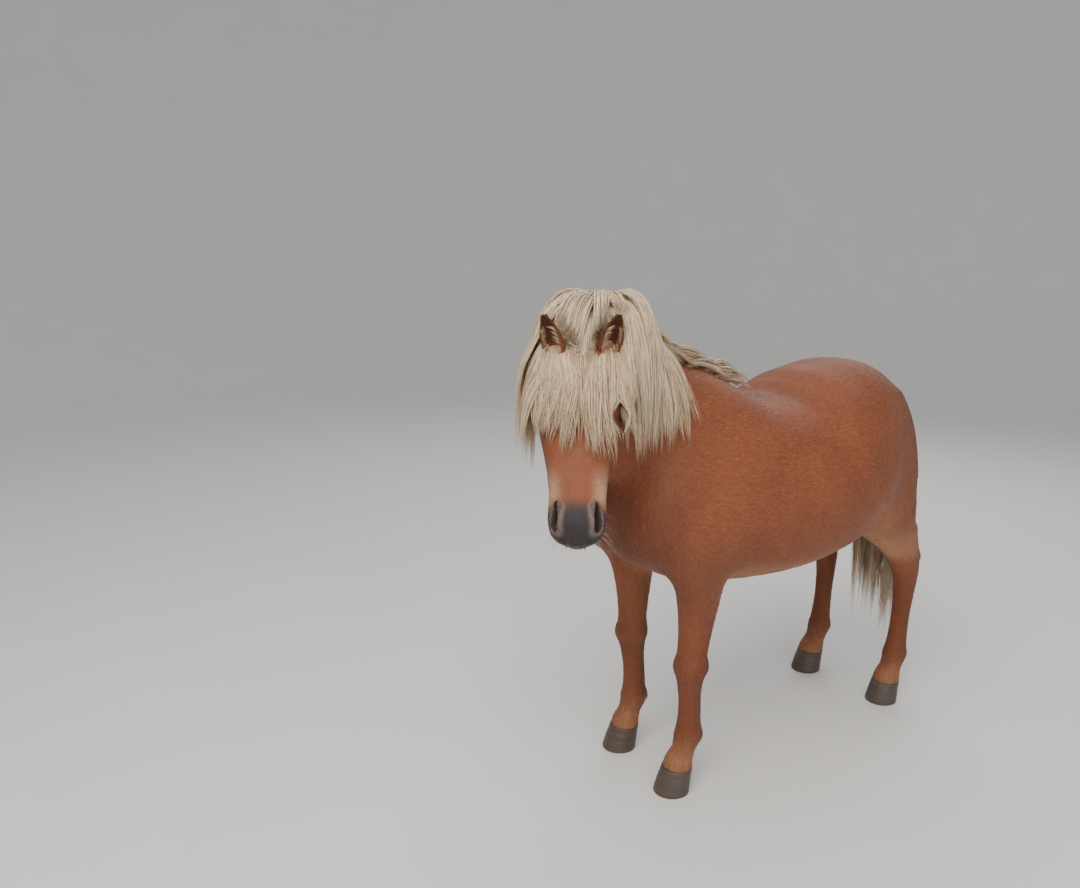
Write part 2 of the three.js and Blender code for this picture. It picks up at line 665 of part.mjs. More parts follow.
function torsoSolid() {
  let torso = netSolid(flesh, BODY_FRAME, [-590, -330, 430], [600, 330, 1130], TORSO_CELL);
  torso = torso.subtract(neckBlock(HALF_GAP));
  torso = torso.subtract(boxSolid(DOCK_CUT.lo, DOCK_CUT.hi, HALF_GAP));
  for (const side of [1, -1]) {
    for (const { lo, hi } of [FORE_CUT, HIND_CUT]) {
      const low = [lo[0], lo[1] - 8, lo[2] + 300];
      torso = torso.subtract(mirroredBox({ lo: low, hi }, side, HALF_GAP));
    }
  }
  return largestOf(torso);
}

function neckFlesh() {
  const neck = netSolid(flesh, BODY_FRAME, [170, -200, 660], [720, 240, 1190], NECK_CELL);
  return neck.intersect(neckBlock(-HALF_GAP));
}

function legSolid(cut, side) {
  const margin = 34;
  const lo = [cut.lo[0] - margin, side > 0 ? 4 : -300, cut.lo[2] - 20];
  const hi = [cut.hi[0] + margin, side > 0 ? 300 : -4, cut.hi[2] + margin];
  const leg = netSolid(flesh, BODY_FRAME, lo, hi, LEG_CELL);
  return largestOf(leg.intersect(mirroredBox(cut, side, -HALF_GAP)));
}

// Foot of a leg: its place under the coronet, moved as its leg's stance is
function footPlace(table, stance, side) {
  const [x, y, z] = table[table.length - 1];
  const move = stance[side > 0 ? 0 : 1] * (1 - z / STANCE_TOP);
  return [x + move, side * y];
}

function hoofSolid([x, y]) {
  const rings = HOOF_LEVELS.map(([z, share]) => {
    const ring = [];
    for (let i = 0; i < HOOF.sides; i += 1) {
      const angle = (2 * Math.PI * i) / HOOF.sides;
      const heel = Math.cos(angle) < 0 ? 0.86 : 1;
      const halfLength = THREE.MathUtils.lerp(HOOF.soleHalfLength * heel, HOOF.topHalf, share);
      const halfWidth = THREE.MathUtils.lerp(HOOF.soleHalfWidth, HOOF.topHalf, share);
      const forward = THREE.MathUtils.lerp(HOOF.toe, 0, share);
      ring.push(new THREE.Vector3(x + forward + halfLength * Math.cos(angle), y + halfWidth * Math.sin(angle), z));
    }
    return ring;
  });
  return ringSolid(rings);
}

// Ears

// Sections of an ear. cup: hollow and open on its face, otherwise filled and larger by grow
function earRings(side, cup, grow) {
  const root = fromHead([EAR_ROOT[0], side * EAR_ROOT[1], EAR_ROOT[2]]);
  const up = headWay([EAR_POINTS[0], side * EAR_POINTS[1], EAR_POINTS[2]]).normalize();
  const face = headWay([EAR_FACES[0], side * EAR_FACES[1], EAR_FACES[2]]);
  face.addScaledVector(up, -face.dot(up)).normalize();
  const across = new THREE.Vector3().crossVectors(up, face);
  const rings = [];
  const sunk = EAR.sunk * HEAD_SCALE;
  for (let r = 0; r < EAR.rings; r += 1) {
    const share = r / (EAR.rings - 1);
    const half = EAR_OUTLINE[r] * EAR.halfWidth + grow;
    const open = THREE.MathUtils.lerp(2.3, 1.25, share);
    const wall = Math.min(EAR.wall * (1 - 0.6 * share), 0.6 * half);
    const depth = Math.min(1, share / 0.25);
    const centre = root.clone().addScaledVector(up, share * EAR.length * HEAD_SCALE - sunk);
    const point = (x, y) => centre.clone().addScaledVector(across, x).addScaledVector(face, y);
    const ring = [];
    for (let i = 0; i < EAR.points; i += 1) {
      const angle = open * ((2 * i) / (EAR.points - 1) - 1);
      ring.push(point(half * Math.sin(angle), -EAR.roundness * half * Math.cos(angle)));
    }
    const [rimX, rimY] = [half * Math.sin(open), -EAR.roundness * half * Math.cos(open)];
    for (let i = EAR.points - 1; cup && i >= 0; i -= 1) {
      const turn = (2 * i) / (EAR.points - 1) - 1;
      const hollow = point((half - wall) * Math.sin(open * turn),
        -EAR.roundness * (half - wall) * Math.cos(open * turn));
      const flat = point(0.92 * rimX * turn, rimY - 0.08 * half);
      ring.push(flat.lerp(hollow, depth));
    }
    if (!cup) ring.push(point(rimX, rimY + 3 * grow), point(-rimX, rimY + 3 * grow));
    rings.push(ring);
  }
  rings.push([root.clone().addScaledVector(up, EAR.length * HEAD_SCALE * 1.04 - sunk + grow)]);
  return { rings, root, up };
}

function earSolid(side) {
  const { rings, root, up } = earRings(side, true, 0);
  return largestOf(ringSolid(rings).intersect(sideBlock(root, up, -HALF_GAP)));
}

// The room an ear takes above its root, which the head and its hair keep clear of
function earRoom(side) {
  const { rings, root, up } = earRings(side, false, EAR_ROOM);
  return ringSolid(rings).intersect(sideBlock(root, up, HALF_GAP));
}

// Eyes

function ballSolid(centre, radius) {
  const matrix = new THREE.Matrix4().setPosition(centre);
  return solidOfGeometry(new THREE.SphereGeometry(radius, 12, 8), matrix);
}

function eyePlace(side) {
  return fromHead([EYE_CENTRE[0], side * EYE_CENTRE[1], EYE_CENTRE[2]]);
}

// The opening between the lids: an almond drawn out from the eye's centre
function eyeOpening(side) {
  const out = headWay([0.3, side * 0.94, 0.14]).normalize();
  const long = headWay([0.95, -side * 0.2, -0.24]);
  long.addScaledVector(out, -long.dot(out)).normalize();
  const high = new THREE.Vector3().crossVectors(out, long);
  const centre = eyePlace(side);
  const ring = (distance, spread) => {
    const points = [];
    for (let i = 0; i < 14; i += 1) {
      const angle = (2 * Math.PI * i) / 14;
      const x = Math.cos(angle) * EYE_OPENING.halfLength;
      const y = Math.sign(Math.sin(angle)) * Math.abs(Math.sin(angle)) ** 1.25 * EYE_OPENING.halfHeight;
      points.push(centre.clone().addScaledVector(out, distance)
        .addScaledVector(long, x * spread).addScaledVector(high, y * spread));
    }
    return points;
  };
  return ringSolid([ring(4, 0.75), ring(EYE_OPENING.depth, 1.25)]);
}

function withEyes(head) {
  let result = head;
  for (const side of [1, -1]) {
    const centre = eyePlace(side);
    const radius = EYE_RADIUS * HEAD_SCALE;
    result = result.add(ballSolid(centre, radius + LID_THICKNESS));
    result = result.subtract(eyeOpening(side));
    result = result.subtract(ballSolid(centre, radius + 2 * HALF_GAP));
  }
  return result;
}

// Nostrils and mouth

function taperedBore(from, to, startRadius, endRadius) {
  const along = to.clone().sub(from);
  const height = along.length();
  const turn = new THREE.Quaternion().setFromUnitVectors(BODY_AXES[1], along.normalize());
  const middle = from.clone().addScaledVector(along, height / 2);
  const matrix = new THREE.Matrix4().compose(middle, turn, new THREE.Vector3(1, 1, 1));
  return solidOfGeometry(new THREE.CylinderGeometry(endRadius, startRadius, height, 10), matrix);
}

function withNostrils(head) {
  let result = head;
  for (const side of [1, -1]) {
    const back = fromHead([NOSTRIL.back[0], side * NOSTRIL.back[1], NOSTRIL.back[2]]);
    const front = fromHead([NOSTRIL.front[0], side * NOSTRIL.front[1], NOSTRIL.front[2]]);
    result = result.subtract(taperedBore(back, front, NOSTRIL.backRadius, NOSTRIL.frontRadius));
  }
  return result;
}

function withMouth(head) {
  const size = [MOUTH.front - MOUTH.corner, 2 * MOUTH.halfWidth, MOUTH.gape].map((v) => v * HEAD_SCALE);
  const centre = fromHead([(MOUTH.front + MOUTH.corner) / 2, 0, MOUTH.n]);
  const slit = solidOfGeometry(new THREE.BoxGeometry(...size), frameMatrix(centre, HEAD_AXES));
  const core = netSolid((p) => flesh(p) + MOUTH.depth, HEAD_FRAME, [310, -62, -125], [440, 62, 0], [14, 12, 12]);
  return head.subtract(slit.subtract(core));
}

function headFlesh() {
  const head = netSolid(flesh, HEAD_FRAME, [-170, -150, -300], [450, 150, 50], HEAD_CELL);
  const parted = head.intersect(headBlock(-HALF_GAP)).intersect(neckBlock(-HALF_GAP));
  return withMouth(withNostrils(withEyes(largestOf(parted))));
}

// Long hair, in flat tapered locks

let seed = LOCK_SEED;

// A repeatable random number from lo to hi
function between(lo, hi) {
  seed = (seed + 0x6d2b79f5) | 0;
  let t = Math.imul(seed ^ (seed >>> 15), 1 | seed);
  t = (t + Math.imul(t ^ (t >>> 7), 61 | t)) ^ t;
  return lo + (hi - lo) * (((t ^ (t >>> 14)) >>> 0) / 4294967296);
}

// The crown's ellipsoid, made smaller by depth
function crownForm(p, depth) {
  const radii = CROWN.radii.map((radius) => radius - depth);
  return near(p, [450, -60, 980], [690, 170, 1190], (q) => ellipsoid(q, CROWN.at.toArray(), radii));
}

// The level that hair hangs round: the flesh, raised over the crown
function hairBase(p) {
  return smoothMin(flesh(p), crownForm(p, 0), 40);
}

// The flesh with the core under the crown's hair
function hairCore(p) {
  return Math.min(flesh(p), crownForm(p, CROWN.depth));
}

function crownCoreSolid() {
  const radii = CROWN.radii.map((radius) => radius - CROWN.depth);
  const matrix = new THREE.Matrix4().makeScale(...radii).setPosition(CROWN.at);
  return solidOfGeometry(new THREE.SphereGeometry(1, 16, 10), matrix);
}

// Points of a lock's middle: it leaves the root along way, bends down under its weight, and is
// held clear of the body. Lift is the height it keeps, which falls off towards the tip
function hangingLine({ root, way, length, lift }) {
  const step = length / HANG_STEPS;
  const at = movedTo(hairCore, root.toArray(), -ROOT_DEPTH, 60);
  const heading = way.clone().normalize();
  const points = [at.clone()];
  for (let i = 1; i <= HANG_STEPS; i += 1) {
    heading.addScaledVector(BODY_AXES[2], -HAIR_DROOP * step).normalize();
    at.addScaledVector(heading, step);
    const high = Math.min(lift, i * step - ROOT_DEPTH);
    const short = high - hairBase(at.toArray());
    if (short > 0) {
      const out = wayOut(hairBase, at.toArray());
      at.addScaledVector(out, short);
      heading.addScaledVector(out, Math.max(0, -heading.dot(out))).normalize();
    }
    points.push(at.clone());
  }
  return points;
}

// A lock round a line: a flat four-sided section that swells, then tapers to a tip
function lockSolid(line, width, thickness) {
  const rings = [];
  let side = null;
  LOCK_STATIONS.forEach((share, r) => {
    const i = Math.round(share * HANG_STEPS);
    const along = line[Math.min(i + 1, HANG_STEPS)].clone().sub(line[Math.max(i - 1, 0)]).normalize();
    const out = r === 0 ? BODY_AXES[2] : wayOut(hairBase, line[i].toArray());
    const across = new THREE.Vector3().crossVectors(along, out);
    if (r > 0 && across.dot(side) < 0) across.negate();
    side = r > 0 && across.length() < 0.3 ? side : across;
    side = side.clone().addScaledVector(along, -side.dot(along)).normalize();
    const level = new THREE.Vector3().crossVectors(side, along);
    const [half, thick] = [width * LOCK_WIDTHS[r] * 0.5, thickness * LOCK_WIDTHS[r] ** 0.5 * 0.5];
    rings.push([[half, 0], [0, thick], [-half, 0], [0, -thick]].map(([x, y]) => (
      line[i].clone().addScaledVector(side, x).addScaledVector(level, y))));
  });
  rings.push([line[HANG_STEPS]]);
  return ringSolid(rings);
}

function locksSolid(locks) {
  return wasm.Manifold.union(locks.map((lock) => lockSolid(hangingLine(lock), lock.width, lock.thickness)));
}

// Locks of one layer that spread round a centre
function spreadLocks({ count, turns, ring, rise, lift, reach, width }, centre) {
  const yaw = THREE.MathUtils.degToRad(HEAD_YAW);
  const locks = [];
  for (let i = 0; i < count; i += 1) {
    const degrees = THREE.MathUtils.lerp(turns[0], turns[1], (i + 0.5) / count) + between(-3, 3);
    const turn = THREE.MathUtils.degToRad(degrees) + yaw;
    locks.push({
      root: new THREE.Vector3(ring * Math.cos(turn), ring * Math.sin(turn), 0).add(centre),
      way: new THREE.Vector3(Math.cos(turn), Math.sin(turn), rise + between(-0.1, 0.1)),
      length: reach * between(0.9, 1.06),
      lift: lift + between(0, 4),
      width: width * between(0.85, 1.15),
      thickness: LOCK_THICKNESS,
    });
  }
  return locks;
}

// Place of the crest at a share of the neck's length, from the withers to the poll
function crestAt(share) {
  const row = NECK_ROWS[Math.round(share * (NECK_ROWS.length - 1))];
  return new THREE.Vector3(row[0], row[1], row[2]).add(new THREE.Vector3(row[6], row[7], row[8]).setLength(row[4]));
}

// The mane as one smooth form, with the back of the crown
function maneSolid() {
  const ribs = [];
  for (let i = 0; i < MANE.ribs; i += 1) {
    const share = THREE.MathUtils.lerp(MANE.from, MANE.to, i / (MANE.ribs - 1));
    const way = new THREE.Vector3(-0.05, -1, MANE.rise);
    const length = MANE.reach * (0.7 + 0.3 * (i / (MANE.ribs - 1)));
    ribs.push(hangingLine({ root: crestAt(share), way, length, lift: MANE.lift }));
  }
  const stride = HANG_STEPS / 6;
  const radius = (i) => THREE.MathUtils.lerp(MANE.rootRadius, MANE.tipRadius, i / HANG_STEPS);
  const field = (p) => ribs.reduce((sum, line) => {
    let d = sum;
    for (let i = 0; i < HANG_STEPS; i += stride) {
      const [a, b] = [line[i].toArray(), line[i + stride].toArray()];
      d = smoothMin(d, cone(p, a, b, radius(i), radius(i + stride)), MANE_BLEND);
    }
    return d;
  }, crownForm(p, NAPE_DEPTH));
  return netSolid(field, BODY_FRAME, [120, -230, 740], [700, 130, 1190], [28, 24, 26]);
}

function headSolid() {
  seed = LOCK_SEED;
  let head = headFlesh().add(crownCoreSolid().intersect(headBlock(-HALF_GAP)));
  for (const side of [1, -1]) head = head.add(ringSolid(earRings(side, true, 0).rings));
  const crown = CROWN.at.clone().setZ(CROWN.at.z + CROWN.radii[2]);
  const falling = FORELOCK_LAYERS.flatMap((layer) => spreadLocks(layer, fromHead(FORELOCK_ROOT)));
  falling.push(...CROWN_LAYERS.flatMap((layer) => spreadLocks(layer, crown)));
  head = head.add(locksSolid(falling).intersect(headBlock(-HALF_GAP)));
  head = head.add(locksSolid(NEAR_LAYERS.flatMap((layer) => spreadLocks(layer, crown))));
  for (const side of [1, -1]) {
    head = head.subtract(earRoom(side));
    head = head.subtract(ballSolid(eyePlace(side), EYE_RADIUS * HEAD_SCALE + 2 * HALF_GAP));
  }
  return largestOf(head);
}

// Flesh grown outward, for hair of another node to keep clear of
function fleshRoom(lo, hi, cell) {
  return netSolid((p) => flesh(p) - 1.5, BODY_FRAME, lo, hi, cell);
}

function neckSolid() {
  const torsoRoom = fleshRoom([60, -330, 600], [600, 330, 1130], [34, 30, 34]).subtract(neckBlock(-HALF_GAP));
  return largestOf(neckFlesh().add(maneSolid()).subtract(headBlock(HALF_GAP)).subtract(torsoRoom));
}

function tailSolid() {
  const dock = netSolid(flesh, BODY_FRAME, [-590, -70, 800], [-440, 70, 990], [18, 16, 18]);
  const within = dock.intersect(boxSolid(DOCK_CUT.lo, DOCK_CUT.hi, -HALF_GAP));
  const rows = resample(TAIL.map(([x, y, z, width, depth]) => [x, y, z, width, depth, depth, 1, 0, 0]), 2);
  const hair = netSolid((p) => bentLoft(rows, p, 2), BODY_FRAME, [-590, -90, 120], [-450, 90, 960], [16, 18, 30]);
  const torsoRoom = fleshRoom([-640, -200, 300], [-400, 200, 990], [22, 24, 26])
    .subtract(boxSolid(DOCK_CUT.lo, DOCK_CUT.hi, -HALF_GAP));
  const behind = sideBlock(new THREE.Vector3(DOCK_CUT.hi[0], 0, 0), new THREE.Vector3(-1, 0, 0), -HALF_GAP);
  return largestOf(within.add(hair).intersect(behind).subtract(torsoRoom));
}

// Named meshes

function nodeOf(name, solid, look) {
  const { vertProperties, triVerts, numProp } = solid.getMesh();
  const positions = new Float32Array((vertProperties.length / numProp) * 3);
  for (let i = 0; i < vertProperties.length / numProp; i += 1) {
    for (let c = 0; c < 3; c += 1) positions[3 * i + c] = vertProperties[numProp * i + c];
  }
  const geometry = new THREE.BufferGeometry();
  geometry.setAttribute('position', new THREE.BufferAttribute(positions, 3));
  geometry.setIndex(new THREE.BufferAttribute(new Uint32Array(triVerts), 1));
  geometry.computeVertexNormals();
  const mesh = new THREE.Mesh(geometry, new THREE.MeshStandardMaterial(look));
  mesh.name = name;
  return mesh;
}

const pony = new THREE.Group();
pony.add(nodeOf('torso', torsoSolid(), COAT));
pony.add(nodeOf('neck', neckSolid(), HAIR));
pony.add(nodeOf('head', headSolid(), HAIR));
pony.add(nodeOf('tail', tailSolid(), HAIR));
for (const [word, side] of [['left', 1], ['right', -1]]) {
  pony.add(nodeOf(`ear_${word}`, earSolid(side), POINTS));
  pony.add(nodeOf(`eye_${word}`, ballSolid(eyePlace(side), EYE_RADIUS * HEAD_SCALE), EYE));
  pony.add(nodeOf(`fore_leg_${word}`, legSolid(FORE_CUT, side), COAT));
  pony.add(nodeOf(`hind_leg_${word}`, legSolid(HIND_CUT, side), COAT));
  pony.add(nodeOf(`fore_hoof_${word}`, hoofSolid(footPlace(FORE_LEG, FORE_STANCE, side)), HORN));
  pony.add(nodeOf(`hind_hoof_${word}`, hoofSolid(footPlace(HIND_LEG, HIND_STANCE, side)), HORN));
}

// The origin is the middle of the pony's box, on the ground
const box = new THREE.Box3().setFromObject(pony);
const middle = box.getCenter(new THREE.Vector3());
pony.position.set(-middle.x, -middle.y, -box.min.z);

export default pony;
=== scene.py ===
"""A chestnut Shetland pony standing at rest, its head turned to its left and lowered."""
import math

import bpy
import numpy as np
from mathutils import Matrix, Vector


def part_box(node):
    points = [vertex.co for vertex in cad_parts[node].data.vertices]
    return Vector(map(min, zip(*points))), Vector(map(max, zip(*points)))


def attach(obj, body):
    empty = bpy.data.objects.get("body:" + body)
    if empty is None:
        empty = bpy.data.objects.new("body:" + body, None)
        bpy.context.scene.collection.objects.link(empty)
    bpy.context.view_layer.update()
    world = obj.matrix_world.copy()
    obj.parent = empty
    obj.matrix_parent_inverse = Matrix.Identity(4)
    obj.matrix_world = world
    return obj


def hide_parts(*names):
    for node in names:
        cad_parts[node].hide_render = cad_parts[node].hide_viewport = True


SEED = 7

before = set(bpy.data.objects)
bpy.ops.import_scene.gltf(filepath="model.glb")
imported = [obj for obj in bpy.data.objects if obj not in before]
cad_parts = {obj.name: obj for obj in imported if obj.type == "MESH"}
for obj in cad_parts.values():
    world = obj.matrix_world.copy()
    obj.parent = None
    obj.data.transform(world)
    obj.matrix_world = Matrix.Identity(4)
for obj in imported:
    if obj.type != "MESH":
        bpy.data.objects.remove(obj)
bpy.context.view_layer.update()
rng = np.random.default_rng(SEED)

# Sizes are millimetres in the pony's own frame: x forward, y to its left, z up from the ground

# Trunk sections: x, centre z, half width, up, down, exponent above, exponent below
TRUNK = [
    (518, 702, 20, 20, 20, 2.0, 2.0),
    (502, 702, 72, 62, 58, 2.0, 2.0),
    (464, 704, 124, 126, 108, 2.0, 2.0),
    (405, 706, 162, 192, 152, 2.0, 2.1),
    (325, 708, 194, 252, 196, 1.9, 2.2),
    (240, 706, 222, 294, 212, 1.7, 2.2),
    (150, 702, 246, 272, 220, 1.8, 2.2),
    (60, 698, 264, 240, 220, 2.1, 2.2),
    (-20, 698, 272, 236, 218, 2.2, 2.2),
    (-90, 704, 272, 256, 216, 2.3, 2.2),
    (-160, 712, 266, 276, 212, 2.3, 2.2),
    (-230, 730, 252, 272, 190, 2.3, 2.1),
    (-300, 758, 226, 247, 150, 2.2, 2.0),
    (-370, 775, 192, 214, 140, 2.1, 2.0),
    (-430, 785, 144, 168, 130, 2.0, 2.0),
    (-468, 788, 90, 110, 95, 2.0, 2.0),
    (-486, 786, 25, 40, 35, 2.0, 2.0),
]
# Leg sections from the top down: x, y, z, half length fore and aft, half width
FORE_LEG = [
    (352, 70, 880, 40, 16),
    (362, 96, 810, 84, 44),
    (372, 116, 730, 108, 70),
    (362, 126, 660, 104, 76),
    (336, 130, 595, 86, 66),
    (320, 126, 540, 69, 54),
    (316, 122, 480, 55, 45),
    (318, 119, 410, 43, 37),
    (322, 117, 350, 38, 35),
    (325, 116, 315, 41, 38),
    (323, 115, 278, 33, 31),
    (321, 114, 225, 28, 24),
    (320, 113, 170, 29, 26),
    (321, 113, 132, 35, 31),
    (333, 113, 98, 28, 27),
    (346, 113, 68, 35, 35),
    (350, 113, 50, 34, 34),
]
HIND_LEG = [
    (-338, 84, 900, 92, 56),
    (-336, 100, 820, 122, 80),
    (-336, 115, 735, 134, 91),
    (-344, 128, 655, 128, 86),
    (-370, 138, 590, 106, 71),
    (-410, 140, 528, 73, 53),
    (-450, 138, 470, 55, 42),
    (-480, 136, 420, 47, 37),
    (-492, 134, 375, 38, 33),
    (-494, 132, 320, 31, 28),
    (-490, 130, 245, 27, 25),
    (-485, 129, 175, 30, 27),
    (-480, 128, 134, 36, 32),
    (-467, 128, 98, 29, 28),
    (-452, 128, 68, 36, 36),
    (-448, 128, 50, 35, 35),
]
# How far the left and the right foot of each pair stand ahead, and the height where that starts
FORE_STANCE = (8.0, -14.0)
HIND_STANCE = (-8.0, 16.0)
STANCE_TOP = 620.0
# Neck sections: x, y, z, half width, towards the crest, towards the throat, way of the crest
NECK = [
    (255, 0, 800, 130, 175, 170, -0.50, 0.00, 0.87),
    (330, 2, 850, 122, 178, 172, -0.52, 0.00, 0.85),
    (410, 6, 905, 108, 165, 158, -0.45, 0.00, 0.89),
    (490, 14, 960, 94, 145, 136, -0.30, 0.00, 0.95),
    (555, 26, 1002, 82, 120, 116, -0.10, 0.05, 0.99),
    (605, 42, 1030, 70, 92, 96, 0.10, 0.15, 0.97),
    (640, 60, 1044, 60, 62, 74, 0.25, 0.30, 0.92),
]
# The head's frame at the poll: a towards the nose, s to the pony's left, n out of the forehead.
# Sections: a, centre n, half width, up, down, exponent above, exponent below
POLL = np.array([635.0, 75.0, 1100.0])
HEAD_YAW = math.radians(51.5)
HEAD_DOWN = math.radians(47.5)
HEAD_ROLL = math.radians(0.5)
HEAD_SCALE = 0.95
HEAD = [
    (-34, -72, 12, 12, 12, 2.0, 2.0),
    (-24, -72, 42, 44, 44, 2.0, 2.0),
    (0, -74, 64, 72, 84, 2.1, 2.0),
    (40, -70, 78, 78, 108, 2.3, 2.1),
    (90, -62, 88, 76, 130, 2.5, 2.2),
    (140, -54, 90, 68, 142, 2.6, 2.2),
    (190, -54, 84, 61, 130, 2.6, 2.1),
    (240, -56, 73, 55, 98, 2.5, 2.0),
    (290, -58, 64, 50, 73, 2.4, 2.0),
    (340, -62, 59, 50, 56, 2.3, 2.1),
    (380, -66, 60, 51, 48, 2.3, 2.2),
    (408, -70, 55, 46, 42, 2.2, 2.2),
    (426, -74, 40, 33, 30, 2.1, 2.1),
    (436, -76, 12, 10, 10, 2.0, 2.0),
]
# Eye, in the head's frame
EYE_CENTRE = (150.0, 75.0, -27.0)
EYE_RADIUS = 18.0 * HEAD_SCALE
LID_LENGTH = 15.5
LID_HEIGHT = 8.5
# Nostril and mouth, in the head's frame
NOSTRIL_BACK = (374.0, 39.0, -20.0)
NOSTRIL_FRONT = (405.0, 34.0, -50.0)
MOUTH_CORNER = 352.0
MOUTH_LEVEL = -93.0
MOUTH_MIDDLE = 400.0
MOUTH_BEND = 0.00088
# Ear: place of its root, way it points, way its cup faces
EAR_ROOT = (6.0, 53.0, -28.0)
EAR_POINTS = (-0.5, 0.3, 0.8)
EAR_FACES = (0.8, 0.42, 0.5)
EAR_LENGTH = 125.0
EAR_HALF_WIDTH = 25.0
EAR_SUNK = 26.0
EAR_OUTLINE = (0.62, 0.78, 0.92, 1.0, 0.99, 0.9, 0.74, 0.5, 0.22)
# Crown that the long hair hangs round
CROWN = np.array([546.0, 24.0, 1096.0])
CROWN_RADII = (84.0, 84.0, 90.0)
CROWN_DEPTH = 28.0
# Hoof, from the sole to the coronet
HOOF_HEIGHT = 59.85

# The pony's own frame is placed by its left fore hoof
hoof_low, hoof_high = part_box("fore_hoof_left")
SHIFT = np.array([hoof_high[0] - 0.419355, (hoof_low[1] + hoof_high[1]) / 2 - 0.113, 0.0])


def to_scene(points):
    """Metres in the scene from millimetres in the pony's own frame."""
    return np.asarray(points, float) / 1000 + SHIFT


# Numbers that the forms are made of


def unit(v):
    return v / np.maximum(np.linalg.norm(v, axis=-1, keepdims=True), 1e-9)


def dot(a, b):
    return (a * b).sum(-1)


def ramp(x, low, high):
    """0 below low, 1 above high, and a smooth rise between. low may be above high."""
    t = np.clip((x - low) / (high - low), 0, 1)
    return t * t * (3 - 2 * t)


def smooth_min(a, b, k):
    h = np.clip(0.5 + 0.5 * (b - a) / k, 0, 1)
    return b + (a - b) * h - k * h * (1 - h)


def smooth_max(a, b, k):
    return -smooth_min(-a, -b, k)


def steady_curve(table, x):
    """A table's columns at x, by monotone cubic curves through its rows."""
    rows = np.array(sorted(table), float)
    xs, ys = rows[:, 0], rows[:, 1:]
    gaps = np.diff(xs)
    rise = np.diff(ys, axis=0) / gaps[:, None]
    slopes = np.zeros_like(ys)
    w1 = (2 * gaps[1:] + gaps[:-1])[:, None]
    w2 = (gaps[1:] + 2 * gaps[:-1])[:, None]
    with np.errstate(divide="ignore", invalid="ignore"):
        inner = (w1 + w2) / (w1 / rise[:-1] + w2 / rise[1:])
    slopes[1:-1] = np.where(rise[:-1] * rise[1:] > 0, np.nan_to_num(inner), 0)
    slopes[0], slopes[-1] = rise[0], rise[-1]
    x = np.clip(x, xs[0], xs[-1])
    i = np.clip(np.searchsorted(xs, x) - 1, 0, len(xs) - 2)
    gap = gaps[i][:, None]
    s = ((x - xs[i]) / gaps[i])[:, None]
    low = (2 * s**3 - 3 * s**2 + 1) * ys[i] + (s**3 - 2 * s**2 + s) * gap * slopes[i]
    high = (3 * s**2 - 2 * s**3) * ys[i + 1] + (s**3 - s**2) * gap * slopes[i + 1]
    return low + high


def resample(table, steps):
    """A table's rows joined by Catmull-Rom curves, steps to each gap."""
    rows = np.array(table, float)
    out = []
    for i in range(len(rows) - 1):
        p0, p1 = rows[max(i - 1, 0)], rows[i]
        p2, p3 = rows[i + 1], rows[min(i + 2, len(rows) - 1)]
        for s in np.arange(steps) / steps:
            bend = 2 * p0 - 5 * p1 + 4 * p2 - p3
            twist = 3 * p1 - p0 - 3 * p2 + p3
            out.append(0.5 * (2 * p1 + (p2 - p0) * s + bend * s**2 + twist * s**3))
    out.append(rows[-1])
    return np.array(out)


# Fields: negative inside a form, and near its surface about the distance to it


def superellipse(u, v, a, b, exponent):
    rho = ((np.abs(u) / a) ** exponent + (np.abs(v) / b) ** exponent) ** (1 / exponent)
    rho = np.maximum(rho, 1e-6)
    return np.where(rho > 0.05, np.hypot(u, v) * (1 - 1 / rho), -np.minimum(a, b))


def straight_loft(table, p):
    """Loft along x. A row holds x, centre z, half width, up, down and the exponents above and below."""
    x, u, v = p.T
    low, high = min(row[0] for row in table), max(row[0] for row in table)
    centre, half, up, down, above, below = steady_curve(table, x).T
    dv = v - centre
    d = superellipse(u, dv, half, np.where(dv > 0, up, down), np.where(dv > 0, above, below))
    over = np.maximum(np.maximum(low - x, x - high), 0)
    return np.where(over > 0, np.hypot(np.maximum(d, 0), over), d)


def bent_loft(rows, p, exponent):
    """Loft along a curve. A row holds the centre, half across, towards up, away from it, and up."""
    best = np.full(len(p), 1e18)
    seg = np.zeros(len(p), int)
    share = np.zeros(len(p))
    for i in range(len(rows) - 1):
        start = rows[i, :3]
        along = rows[i + 1, :3] - start
        t = np.clip((p - start) @ along / (along @ along), 0, 1)
        far = ((p - start - t[:, None] * along) ** 2).sum(1)
        closer = far < best
        best[closer], seg[closer], share[closer] = far[closer], i, t[closer]
    at = rows[seg] + (rows[seg + 1] - rows[seg]) * share[:, None]
    along = unit(rows[seg + 1, :3] - rows[seg, :3])
    up = at[:, 6:9]
    up = unit(up - dot(up, along)[:, None] * along)
    side = np.cross(along, up)
    q = p - at[:, :3]
    u, v, w = dot(q, side), dot(q, up), dot(q, along)
    d = superellipse(u, v, at[:, 3], np.where(v > 0, at[:, 4], at[:, 5]), exponent)
    at_end = ((seg == 0) & (share <= 0)) | ((seg == len(rows) - 2) & (share >= 1))
    ended = np.where(d > 0, np.hypot(d, w), np.maximum(d, np.abs(w) - 1e-3))
    return np.where(at_end, ended, d)


def ellipsoid(p, centre, radii):
    q = p - np.array(centre, float)
    r = np.array(radii, float)
    k0 = np.linalg.norm(q / r, axis=1)
    k1 = np.linalg.norm(q / r**2, axis=1)
    return k0 * (k0 - 1) / np.maximum(k1, 1e-9)


def cone(p, a, b, start_radius, end_radius):
    """Round-ended cone from a to b."""
    a, b = np.array(a, float), np.array(b, float)
    along = b - a
    t = np.clip((p - a) @ along / (along @ along), 0, 1)
    far = np.linalg.norm(p - a - t[:, None] * along, axis=1)
    return far - (start_radius + (end_radius - start_radius) * t)


NEAR_MARGIN = 60.0
FAR_OFF = 400.0


